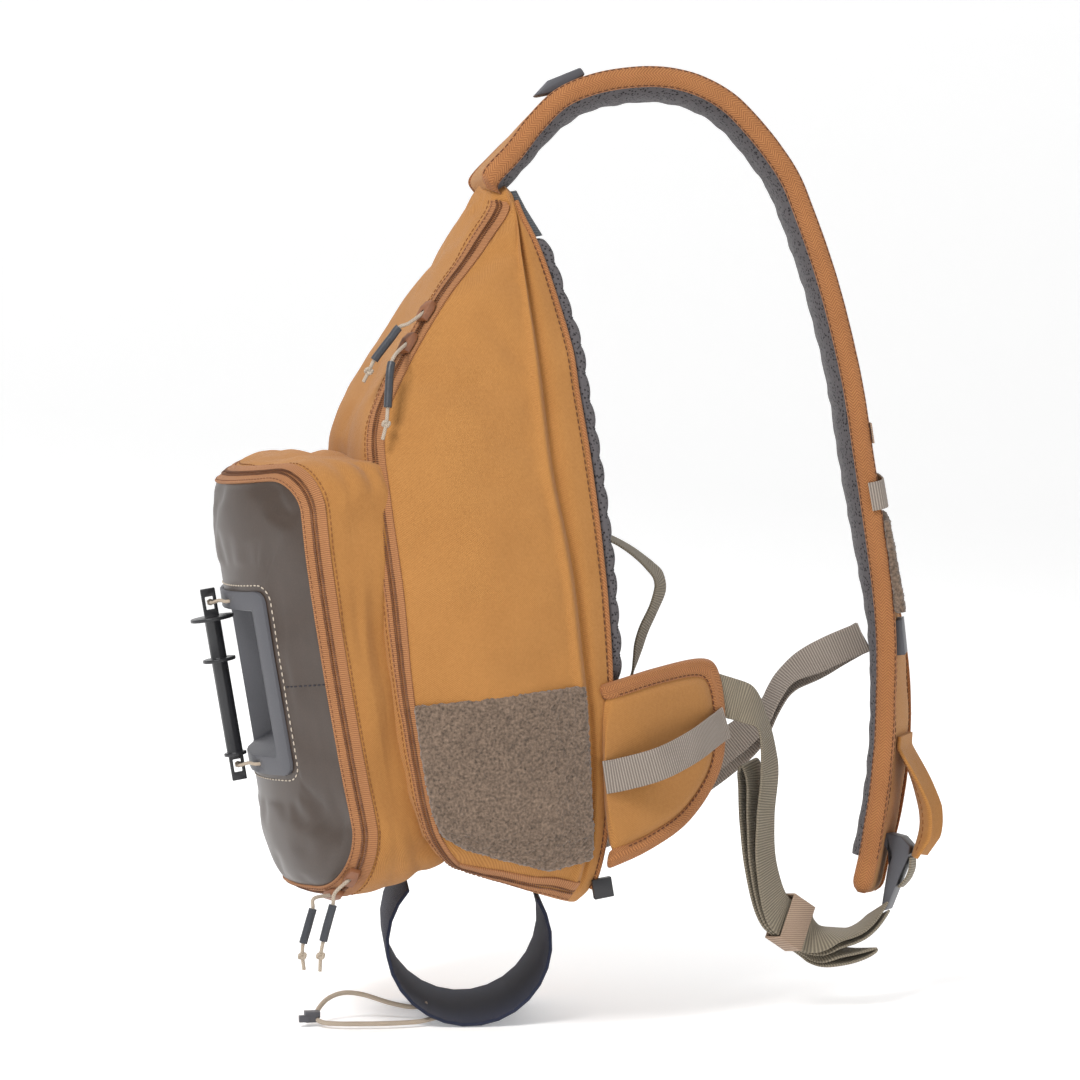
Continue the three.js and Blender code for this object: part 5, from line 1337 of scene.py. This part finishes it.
@dataclass
class FrontPocket:
    """The pocket's gusset, its zip, its coated panel and the moulded plate."""

    body: Compartment
    half: float = 0.101
    height: float = 0.264
    top: float = -0.141
    depth: float = 0.155
    dome: float = 0.039
    bulge: float = 0.003
    top_radius: float = 0.030
    bottom_radius: float = 0.048
    slope: float = 0.014
    inset: float = 0.008
    edge_dip: float = 0.007
    seam_inset: float = 0.005
    reach: float = 0.006
    swell: float = 0.003
    canvas: float = 0.0016
    coating: float = 0.0014
    creases: tuple = ((0.30, 0.08, 1.0), (0.62, 0.09, 0.6))
    crease_depth: float = 0.0046
    pucker_depth: float = 0.0042
    plate_half: float = 0.062
    plate_height: float = 0.113
    plate_drop: float = 0.073
    plate_radius: float = 0.007
    flange: float = 0.011

    def outline(self, half: float, top: float, bottom: float, radii: tuple, inset: float) -> Array:
        """A rounded outline in Y and Z, with the same count of points at any inset."""
        spans = (16, 8, 16, 8)
        points: list = []
        starts = [(1, top, radii[0], 0), (-1, top, radii[0], 90)]
        starts += [(-1, bottom, radii[1], 180), (1, bottom, radii[1], 270)]
        arcs = []
        for side, z, radius, turn in starts:
            r = max(radius - inset, 0.002)
            y = side * (half - inset - r)
            centre = z + (-1 if z == top else 1) * (inset + r)
            angles = np.radians(turn + np.linspace(0, 90, 9))
            arcs.append(np.stack([y + r * np.cos(angles), centre + r * np.sin(angles)], axis=1))
        for k, arc in enumerate(arcs):
            points += list(arc)
            following = arcs[(k + 1) % 4][0]
            for step in range(1, spans[k]):
                points.append(arc[-1] + (following - arc[-1]) * step / spans[k])
        return np.array(points)

    def edge(self, inset: float) -> Array:
        """The pocket's outline at an inset."""
        radii = (self.top_radius, self.bottom_radius)
        return self.outline(self.half, self.top, self.top - self.height, radii, inset)

    def plate_edge(self, inset: float) -> Array:
        """The plate's outline at an inset."""
        top = self.top - self.plate_drop
        radii = (self.plate_radius, self.plate_radius)
        return self.outline(self.plate_half, top, top - self.plate_height, radii, inset)

    def front_x(self, y: Array, z: Array) -> Array:
        """The domed front's X at a place across it and up it."""
        panel = self.half - self.inset
        radius = (panel**2 + self.dome**2) / (2 * self.dome)
        across = np.minimum(np.abs(y), panel)
        dome = np.sqrt(radius**2 - across**2) - (radius - self.dome)
        share = (z - self.top + self.height / 2) / (self.height / 2)
        puffed = self.bulge * (1 - share**2)
        dip = self.edge_dip * np.abs(share) ** 8
        return -(self.depth + self.slope) - dome - puffed + dip

    def ring(self, inset: float, set_back: float) -> Array:
        """The outline at an inset, set back from the domed front."""
        flat = self.edge(inset)
        front = self.edge(max(inset, self.inset))
        x = self.front_x(front[:, 0], front[:, 1]) + set_back
        return np.stack([x, flat[:, 0], flat[:, 1]], axis=1)

    def seam(self) -> Array:
        """Where the gusset meets the compartment, in the scene's frame."""
        flat = self.edge(self.seam_inset)
        into = outside([1, 0, 0]) - outside([0, 0, 0])
        found = []
        for y, z in flat:
            start = outside([-0.3, y, z])
            spot = self.body.surface.along(start, into)
            plain = outside([-BODY_DEPTH * 0.84, y, z])
            limit = np.linalg.norm(plain - start) + self.reach
            if spot is None or np.linalg.norm(spot - start) > limit:
                spot = self.body.surface.lay([plain], -0.001)[0][0]
            found.append(spot + into * 0.0008)
        found = np.array(found)
        for _ in range(3):
            found = (np.roll(found, 1, axis=0) + found * 2 + np.roll(found, -1, axis=0)) / 4
        return found

    def build(self) -> None:
        """Builds the pocket from its seam to its plate."""
        self.gusset()
        outer, inner = outside(self.ring(0, self.slope)), outside(self.ring(self.inset, 0))
        rim = (outer + inner) / 2
        normals = unit(np.cross(inner - outer, tangents(rim, True)))
        heart = rim.mean(axis=0) + np.array([0.1, 0, 0])
        if ((normals * (rim - heart)).sum(axis=1) < 0).mean() > 0.5:
            normals = -normals
        fine = [smooth_rows(rows, 240, True) for rows in (outer, inner, normals)]
        Zip("pocket_zip", "pocket_zip").build(fine[0], fine[1], unit(fine[2]), True)
        self.panel()
        hard_copy("tippet_plate", "spool_plate", SLATE, 0.0009)
        hard_copy("tippet_bar", "spool_bar", BLACK, 0.0004)
        for node, name in (("bar_tie_upper", "upper_tie"), ("bar_tie_lower", "lower_tie")):
            tie = copy_of(node, name)
            smooth_shade(tie, 60)
            dress(tie, CORD, node)

    def gusset(self) -> None:
        """Builds the soft gusset between the seam and the zip."""
        seam, rim = self.seam(), outside(self.ring(0, self.slope))
        lip = outside(self.ring(self.inset * 0.5, self.slope * 0.5))
        middle = rim.mean(axis=0)
        away = unit((rim - middle) * [0.15, 1, 1])
        rows, held = [], []
        for share in np.linspace(0, 1, 22):
            line = seam + (rim - seam) * share
            out = self.swell * math.sin(math.pi * share)
            valley = sum(
                strength * math.exp(-(((share - middle_share) / wide) ** 2))
                for middle_share, wide, strength in self.creases
            )
            dent = valley * (0.6 + 0.4 * ripple(line, 0.16, 4.0)) * self.crease_depth
            rows.append(line + away * (out - dent)[:, None])
            held.append(1.0 if share in (0.0, 1.0) else 0.0)
        inner = [rim + (lip - rim) * 0.8, rim + (lip - rim) * 0.8 - away * self.canvas]
        points = np.array(rows + inner)
        grid_held = np.repeat(np.array(held + [1.0, 1.0]), points.shape[1])
        piece = shaped_grid("pocket_gusset", points, capped=False)
        turn_out(piece, middle)
        puff(piece, grid_held, pressure=1.2, slack=0.018, cap=0.004)
        subdivide(piece)
        smooth_shade(piece, 70)
        surface = Surface.of(piece)
        apply(piece, "SOLIDIFY", thickness=self.canvas, offset=-1)
        face_out(piece)
        smooth_shade(piece, 70)
        dress(piece, CANVAS, "front_pocket")
        line = seam + (rim - seam) * 0.955
        line, normals = surface.lay(np.concatenate([line, line[:1]]))
        FINE_SEAM.sew("gusset_stitches", line, normals, THREAD)

    def panel(self) -> None:
        """Builds the coated panel with its puckers and its stitching round the plate."""
        rim = self.ring(self.inset, 0)
        hole = self.plate_edge(self.flange)
        rows, held = [], []
        steps = 26
        for i in range(-1, steps + 1):
            share = max(i, 0) / steps
            y = rim[:, 1] + (hole[:, 0] - rim[:, 1]) * share
            z = rim[:, 2] + (hole[:, 1] - rim[:, 2]) * share
            x = self.front_x(y, z) + (0.0022 if i < 0 else 0)
            line = np.stack([x, y, z], axis=1)
            if i < 0:
                line[:, 1:] += (rim[:, 1:] - hole) * 0.03
            pucker = math.sin(math.pi * min(share * 1.15, 1)) ** 2
            fold = ripple(line * [1, 1, 0.45], 0.045, 1.7) * ripple(line, 0.09, 6.1)
            line[:, 0] -= fold * self.pucker_depth * pucker
            rows.append(line)
            near_plate = share > 0.62
            held.append(np.ones(len(line)) * (1.0 if i <= 0 or near_plate else 0.0))
        points = outside(np.array(rows))
        grid_held = np.concatenate(held)
        piece = shaped_grid("coated_panel", points, capped=False)
        turn_out(piece, (0, 0, -0.3))
        puff(piece, grid_held, pressure=1.0, slack=0.02, cap=0.003)
        subdivide(piece)
        surface = Surface.of(piece)
        apply(piece, "SOLIDIFY", thickness=self.coating, offset=-1)
        face_out(piece)
        smooth_shade(piece, 60)
        dress(piece, COATED, "front_panel")
        line = self.plate_edge(-0.0035)
        line = np.concatenate([line, line[:1]])
        self.sew_front("plate_stitches", surface, line[:, 0], line[:, 1], PLATE_SEAM, PALE_THREAD)
        level = self.top - self.plate_drop - self.plate_height * 0.52
        for side, word in ((-1, "near"), (1, "far")):
            y = np.linspace(self.plate_half + 0.004, self.half - self.inset, 12) * side
            z = np.full(12, level)
            self.sew_front("panel_stitches_" + word, surface, y, z, PANEL_SEAM, SLATE_THREAD)

    def sew_front(
        self, name: str, surface: Surface, y: Array, z: Array, seam: Seam, finish: Finish
    ) -> None:
        """Sews stitches on the panel's outer face, at places across it and up it."""
        places = np.stack([self.front_x(y, z), y, z], axis=1)
        line, normals = surface.lay(outside(places))
        if normals[:, 0].mean() > 0:
            normals = -normals
        seam.sew(name, line, normals, finish)


# The wearer's side


@dataclass
class BackPad:
    """The ribbed spacer-mesh pad and its plain head."""

    body: Compartment
    top: float = -0.075
    bottom: float = -0.9
    thick: float = 0.009
    rib: float = 0.017
    rise: float = 0.0019
    wing_top: float = -0.69
    wing_cut: float = 0.012
    wing_blend: float = 120
    side_gap: float = 0.002
    rib_rows: int = 8
    section: tuple = (
        (1.0, 0.02), (1.003, 0.35), (0.995, 0.7), (0.975, 0.92), (0.94, 1.02), (0.8, 1.06),
        (0.6, 1.08), (0.4, 1.09), (0.2, 1.1), (0.0, 1.1),
    )

    def build(self) -> None:
        """Builds the pad with its sewn channels, and the pad's head."""
        length = (self.top - self.bottom) * BODY_HEIGHT
        ribs = round(length / self.rib)
        z = np.linspace(self.top, self.bottom, ribs * self.rib_rows + 1)
        rows = self.body.rows(200)
        back_x = np.interp(-z, -rows["back_z"], rows["back_x"]) * BODY_DEPTH
        back_w = np.interp(-z, -rows["back_z"], rows["back_w"]) * BODY_HALF - self.side_gap
        crest = np.abs(np.sin(np.linspace(0, ribs * math.pi, len(z)))) ** 0.7
        thick = self.thick - self.rise * (1 - crest)
        ends = np.clip(np.minimum(np.arange(len(z)), np.arange(len(z))[::-1]) / 5, 0, 1)
        thick *= 0.8 + 0.2 * np.sqrt(ends)
        near_cut = self.wing_cut / (1 + np.exp((z - self.wing_top) * self.wing_blend))
        columns = []
        for across, out in self.section:
            near = -(back_w - near_cut * across) * across
            columns.append(np.stack([back_x + thick * out, near, z * BODY_HEIGHT], 1))
        for across, out in self.section[-2::-1]:
            columns.append(np.stack([back_x + thick * out, back_w * across, z * BODY_HEIGHT], 1))
        for across in (0.97, -0.85):
            columns.append(np.stack([back_x - 0.003, back_w * across, z * BODY_HEIGHT], 1))
        points = np.stack(columns, axis=1)
        soft = ripple(points, 0.09, 3.3)
        points[:, :, 0] += soft * 0.0004
        piece = shaped_grid("spacer_pad", outside(points))
        subdivide(piece)
        smooth_shade(piece, 60)
        dress(piece, SPACER, "back_pad")
        surface = Surface.of(piece)
        seams = []
        for k in range(1, ribs):
            row = points[k * self.rib_rows, 2:17]
            line, normals = surface.lay(outside(row))
            seams.append(PAD_SEAM.sew(f"pad_seam_{k}", line, normals, SLATE_THREAD))
        dress(joined(seams, "pad_seams"), SLATE_THREAD)
        soft_copy("pad_cap", "pad_head", CAP_KNIT, 0.002, 30, 60, 3)


@dataclass
class PilePatch:
    """The fleece on the near side, and the smaller one on the strap."""

    voxel: float = 0.0014
    fuzz: float = 0.0007
    proud: float = 0.0007

    def fleece(self, node: str, name: str) -> bpy.types.Object:
        """A fuzzy copy of a node's solid."""
        piece = copy_of(node, name)
        apply(piece, "REMESH", mode="VOXEL", voxel_size=self.voxel)
        apply(piece, "SMOOTH", factor=0.5, iterations=3)
        places = places_of(piece)
        normals = np.zeros(len(places) * 3)
        piece.data.vertices.foreach_get("normal", normals)
        draws = np.random.default_rng(7).normal(0, 1, len(places))
        clumps = ripple(places, 0.011, 0.4) * 0.4
        height = (draws * 0.45 + clumps) * self.fuzz + self.proud
        set_places(piece, places + normals.reshape(-1, 3) * height[:, None])
        smooth_shade(piece, 80)
        return dress(piece, PILE, node)

    def build(self) -> None:
        """Builds both patches."""
        self.fleece("pile_patch", "fly_patch")
        self.fleece("strap_pile", "strap_patch")


@dataclass
class Wing:
    """The padded waist wing with its bound edge."""

    length: float = 0.086
    height: float = 0.108
    thick: float = 0.009
    binding: float = 0.009
    curve: float = 0.044
    slant: float = 0.013
    swell: float = 0.0022
    root: tuple[float, float, float] = (-0.085, -0.915, -0.95)
    middle: tuple[float, float] = (0.42, 0.55)
    edge: tuple = (
        (0, 1), (0.45, 1.02), (0.86, 1), (0.98, 0.9), (0.97, 0.62), (0.87, 0.36), (0.6, 0.14),
        (0.3, 0.04), (0, -0.01),
    )

    def place(self, along: Array, up: Array, lift: Array | float) -> Array:
        """Places on the wing at shares of its length and height, lifted off its inner face."""
        root = np.array(self.root) * [BODY_DEPTH, BODY_HALF, BODY_HEIGHT]
        x = root[0] + along * self.length - self.slant * (1 - up) * (1 - along)
        y = root[1] + self.curve * np.maximum(along, 0) ** 1.4 - lift
        return outside(np.stack([x, y, root[2] + up * self.height], axis=-1))

    def ring(self, share: float, lift: float, rim: Array) -> Array:
        """The wing's outline shrunk towards its middle by a share."""
        along = rim[:, 0] + (self.middle[0] - rim[:, 0]) * share * (rim[:, 0] > 0.004)
        up = rim[:, 1] + (self.middle[1] - rim[:, 1]) * share
        return self.place(along, up, lift)

    def build(self) -> None:
        """Builds the wing, its binding and their stitches."""
        rim = even_line(smooth_rows(self.edge, 80), 60)
        rim[:, 0] = np.maximum(rim[:, 0], 0)
        edge = self.binding / (self.length * 0.55)
        under = [(0.93, 0.0004), (0.6, 0.0002), (edge, 0.0008), (edge * 0.6, 0.002)]
        over = [(edge * 0.6, self.thick - 0.002), (edge, self.thick - 0.0018)]
        for share in (0.25, 0.35, 0.5, 0.65, 0.8, 0.93):
            swell = self.swell * math.sin(math.pi * (0.2 + share * 0.6))
            over.append((share, self.thick + swell - 0.0008))
        points = np.array([self.ring(share, lift, rim) for share, lift in under + over])
        piece = shaped_grid("wing_body", points)
        subdivide(piece, 2)
        smooth_shade(piece, 60)
        dress(piece, CANVAS, "waist_wing")
        shares = [(edge, 0.0004), (0.03, -0.0002), (0.0, 0.0008), (-0.012, 0.0028), (-0.014, 0.0045)]
        shares += [(-0.012, 0.0062), (0.0, 0.0080), (0.03, 0.0090), (edge * 0.9, 0.0088), (edge, 0.0078)]
        points = np.stack([self.ring(share, lift, rim) for share, lift in shares], axis=1)
        band = shaped_grid("wing_edge", points)
        subdivide(band)
        smooth_shade(band, 60)
        dress(band, BINDING, "wing_binding")
        bound = Surface.of(band)
        line, normals = bound.lay(self.ring(edge * 0.86, self.thick + 0.001, rim)[2:-2])
        FINE_SEAM.sew("wing_stitches", line, normals, DARK_THREAD)


# The shoulder strap

# Rows of the strap that its lining and its stitches reach, clear of its ends
STRAP_ROWS = 260
LINED_ROWS = slice(3, 252)
SHELL_SEAM_ROWS = slice(8, 250)
EDGE_SEAM_ROWS = slice(6, 252)


@dataclass
class ShoulderStrap:
    """The padded strap: its canvas shell, its bound edges, its mesh lining and what is sewn on."""

    width: float = 0.072
    thick: float = 0.011
    binding_width: float = 0.006
    binding_thick: float = 0.013
    lining: float = 0.008
    lining_corners: tuple[float, float] = (0.6, 1.0)
    start_height: float = -0.06
    sewn_at: tuple[float, float, float] = (-0.1055, 0.0, -0.0585)
    sewn_width: float = 0.82
    stations: Stations | None = None

    def read(self) -> Stations:
        """The strap's own line, worked out from its mesh lining's solid."""
        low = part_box("strap_mesh")[0]
        found = Stations.of("strap_mesh", 6, (low.x, 0, self.start_height))
        step_first = float(np.linalg.norm(found.at[1] - found.at[0]))
        step_last = float(np.linalg.norm(found.at[-1] - found.at[-2]))
        found = found.longer(step_first, step_last)
        top = -self.thick * 0.42 - GAP
        middle = top - self.lining * sum(self.lining_corners) / 3
        inward = 1.0 if (found.out[len(found.at) // 2] @ np.array([0, 0, 1.0])) > 0 else -1.0
        out = found.out * inward
        side = found.side
        side = side * (1.0 if side[len(side) // 2][1] > 0 else -1.0)
        at = found.at - out * middle
        width = found.width / found.width[len(found.at) // 2]
        sewn = np.array(self.sewn_at)
        lean = unit(out[0] + np.array([-0.5, 0, 0]))
        return Stations(
            np.concatenate([[sewn], at]),
            np.concatenate([side[:1], side]),
            np.concatenate([[lean], out]),
            np.concatenate([width[:1] * self.sewn_width, width]),
        )

    def section(self, corners: Sequence[tuple[float, float]]) -> Callable[[float], Array]:
        """A section that narrows with the strap, as corners of (across, out)."""
        shape = np.array(corners)

        def at(share: float) -> Array:
            """The section at a share of the strap."""
            row = int(round(share * (len(self.stations.at) - 1)))
            near_end = (1 - share) / 0.012
            round_off = 1 if near_end > 1 else math.sqrt(1 - (1 - near_end) ** 2 * 0.85)
            return shape * [self.stations.width[row] * (0.8 + 0.2 * round_off), round_off]

        return at

    def beside(self, across: float, lift: float) -> Array:
        """A line beside the strap's own, at a distance across and a lift."""
        line = self.stations
        return line.at + line.side * across * line.width[:, None] + line.out * lift

    def build(self) -> None:
        """Builds the strap from its lining out."""
        self.stations = self.read().finer(STRAP_ROWS)
        half = self.width / 2 - self.binding_width - GAP
        edge, crown = self.thick * 0.42, self.thick * 0.5
        across = np.linspace(1, -1, 15)
        top = [(half * a, edge + (crown - edge + 0.0012) * (1 - abs(a) ** 3)) for a in across]
        shell = self.section(top + [(-half, -edge), (0, -edge), (half, -edge)])
        points = self.stations.sweep(shell)
        swell = ripple(points, 0.06, 2.2) * 0.0006
        points[:, 1:14] += (self.stations.out[:, None] * swell[:, 1:14, None])
        piece = shaped_grid("strap_shell", points)
        smooth_shade(piece, 60)
        dress(piece, CANVAS, "shoulder_strap")
        surface = Surface.of(piece)
        for sign, word in ((-1, "near"), (1, "far")):
            self.bound_edge(sign, word)
            line = self.beside(sign * (half - 0.0035), 0.012)
            line, normals = surface.lay(line[SHELL_SEAM_ROWS])
            PLAIN_SEAM.sew("strap_stitches_" + word, line, normals, DARK_THREAD)
        self.mesh_lining(half)

    def bound_edge(self, sign: int, word: str) -> None:
        """Builds the folded binding along one edge."""
        inner = sign * (self.width / 2 - self.binding_width)
        outer = sign * (self.width / 2)
        reach = self.binding_thick / 2
        corners = []
        for angle in np.linspace(-90, 90, 11):
            a = math.radians(angle)
            corners.append((inner + (outer - inner) * (0.25 + 0.75 * math.cos(a)), reach * math.sin(a)))
        corners += [(inner, reach * 0.97), (inner, 0), (inner, -reach * 0.97)]
        points = self.stations.sweep(self.section(corners))
        swell = ripple(points, 0.035, 1.0 + sign) * 0.0004
        points += self.stations.side[:, None] * sign * swell[:, :, None]
        piece = shaped_grid("strap_edge_" + word, points)
        smooth_shade(piece, 60)
        dress(piece, BINDING, "strap_binding_" + word)
        bound = Surface.of(piece)
        for level, name in ((1, "outer"), (-1, "inner")):
            line = self.beside(inner + (outer - inner) * 0.72, reach * level)
            laid, normals = bound.lay(line[EDGE_SEAM_ROWS])
            PLAIN_SEAM.sew(f"edge_stitches_{word}_{name}", laid, normals, DARK_THREAD)

    def mesh_lining(self, half: float) -> None:
        """Builds the soft mesh on the strap's inner side."""
        top = -self.thick * 0.42 - GAP
        corners = [(half, top)]
        for a in np.linspace(1, -1, 17):
            drop = self.lining * (1 - abs(a) ** 3.2) ** 0.6
            corners.append((half * 0.985 * a, top - 0.0004 - drop))
        corners.append((-half, top))
        line = self.stations
        inner = Stations(*(each[LINED_ROWS] for each in (line.at, line.side, line.out, line.width)))
        shape = np.array(corners)
        points = np.array([
            inner.at[i] + inner.side[i] * shape[:, :1] * inner.width[i] + inner.out[i] * shape[:, 1:]
            for i in range(len(inner.at))
        ])
        bumps = np.sin(np.arange(len(inner.at)) * 0.9)[:, None] * 0.0003 + ripple(points, 0.02, 3.0) * 0.0003
        points[:, 1:-1] -= inner.out[:, None] * bumps[:, 1:-1, None]
        piece = shaped_grid("strap_lining", points)
        smooth_shade(piece, 60)
        dress(piece, SPACER, "strap_mesh")


@dataclass
class StrapFittings:
    """The small pieces on the strap, and the buckle with its cover."""

    flap_half: float = 0.023
    flap_thick: float = 0.0024
    droop: float = 0.010

    def build(self) -> None:
        """Builds the fittings."""
        hard_copy("strap_hook", "gear_hook", SLATE, 0.0012)
        hard_copy("strap_tab", "lock_tab", SLATE, 0.0012)
        hard_copy("buckle", "ladder_buckle", SLATE, 0.0008)
        hard_copy("foot_tab", "corner_tab", BLACK, 0.0006)
        soft_copy("strap_label", "side_label", ELASTIC, 0.0004, 30, 50)
        self.flap()

    def flap(self) -> None:
        """Builds the cloth flap over the buckle, with its stitches."""
        # Five stations first, so that the solid's corners go, then enough for a smooth curve
        stations = Stations.of("buckle_cover", 4, tuple(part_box("buckle_cover")[1])).finer(5).finer(50)
        half, thick = self.flap_half, self.flap_thick
        shape = rounded_section(half, -thick / 2, thick / 2, thick * 0.45, 3)

        def saddle(share: float) -> Array:
            """The flap's section, which droops at its edges away from its root."""
            droop = self.droop * min(max(share - 0.2, 0) / 0.45, 1, max(1.15 - share, 0) / 0.3)
            return np.stack([shape[:, 0], shape[:, 1] - droop * (np.abs(shape[:, 0]) / half) ** 2.4], axis=1)

        piece = shaped_grid("buckle_flap", stations.sweep(saddle))
        smooth_shade(piece, 60)
        dress(piece, CANVAS, "buckle_cover")
        surface = Surface.of(piece)
        for side, word in ((-1, "near"), (1, "far")):
            line = stations.at + stations.side * side * (half - 0.003) + stations.out * 0.003
            line, normals = surface.lay(line[3:-3])
            PLAIN_SEAM.sew("flap_stitches_" + word, line, normals, THREAD)


# Webbing


def webbings() -> list[Webbing]:
    """Every band of webbing, from the end that nothing cuts."""
    high = {name: tuple(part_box(name)[1]) for name in ("cross_webbing_near", "cross_webbing_far")}
    return [
        Webbing("wing_webbing", 0.025, (0.028, -0.072, -0.39), OLIVE, 4, more=(0.012, 0.0)),
        Webbing("stowed_webbing", 0.025, (0.075, -0.05, -0.51), OLIVE, 4),
        Webbing("return_webbing", 0.025, (0.08, -0.045, -0.515), OLIVE, 5),
        Webbing("tail_webbing", 0.025, (0.08, -0.045, -0.52), OLIVE, 4),
        Webbing("buckle_wrap", 0.025, (0.17, -0.01, -0.48), OLIVE, 6),
        Webbing("back_loop", 0.025, (-0.02, -0.03, -0.25), OLIVE, 5),
        Webbing("gear_loop", 0.020, (0.035, -0.075, -0.38), PALE, 6, more=(0.0, 0.004)),
        Webbing("strap_loop", 0.018, (0.14, -0.037, -0.245), PALE, 7),
        Webbing("cross_webbing_near", 0.020, high["cross_webbing_near"], PALE, 5),
        Webbing("cross_webbing_far", 0.020, high["cross_webbing_far"], PALE, 5),
    ]


@dataclass
class Holder:
    """The open sling under the bag, and the webbing's keeper."""

    flat: tuple[float, float] = (0.112, 0.219)

    def build(self) -> None:
        """Builds both."""
        sling = soft_copy("bottle_holder", "bottle_sling", NAVY, 0.0008, 40, 45)
        soft_copy("web_keeper", "elastic_keeper", ELASTIC, 0.0005, 40, 45)


def main() -> None:
    """Builds the scene piece by piece."""
    logging.basicConfig(level=logging.INFO, format="%(message)s")
    studio = Studio()
    studio.camera()
    Cords().build()
    body = Compartment()
    body.build()
    MainZip(body).build()
    FrontPocket(body).build()
    BackPad(body).build()
    PilePatch().build()
    Wing().build()
    ShoulderStrap().build()
    StrapFittings().build()
    for band in webbings():
        band.build()
    Holder().build()
    for name in PULL_ROUTES:
        hard_copy(name + "_slider", name + "_tab", SLIDER, 0.0008)
    studio.build()


if __name__ == "__main__":
    main()
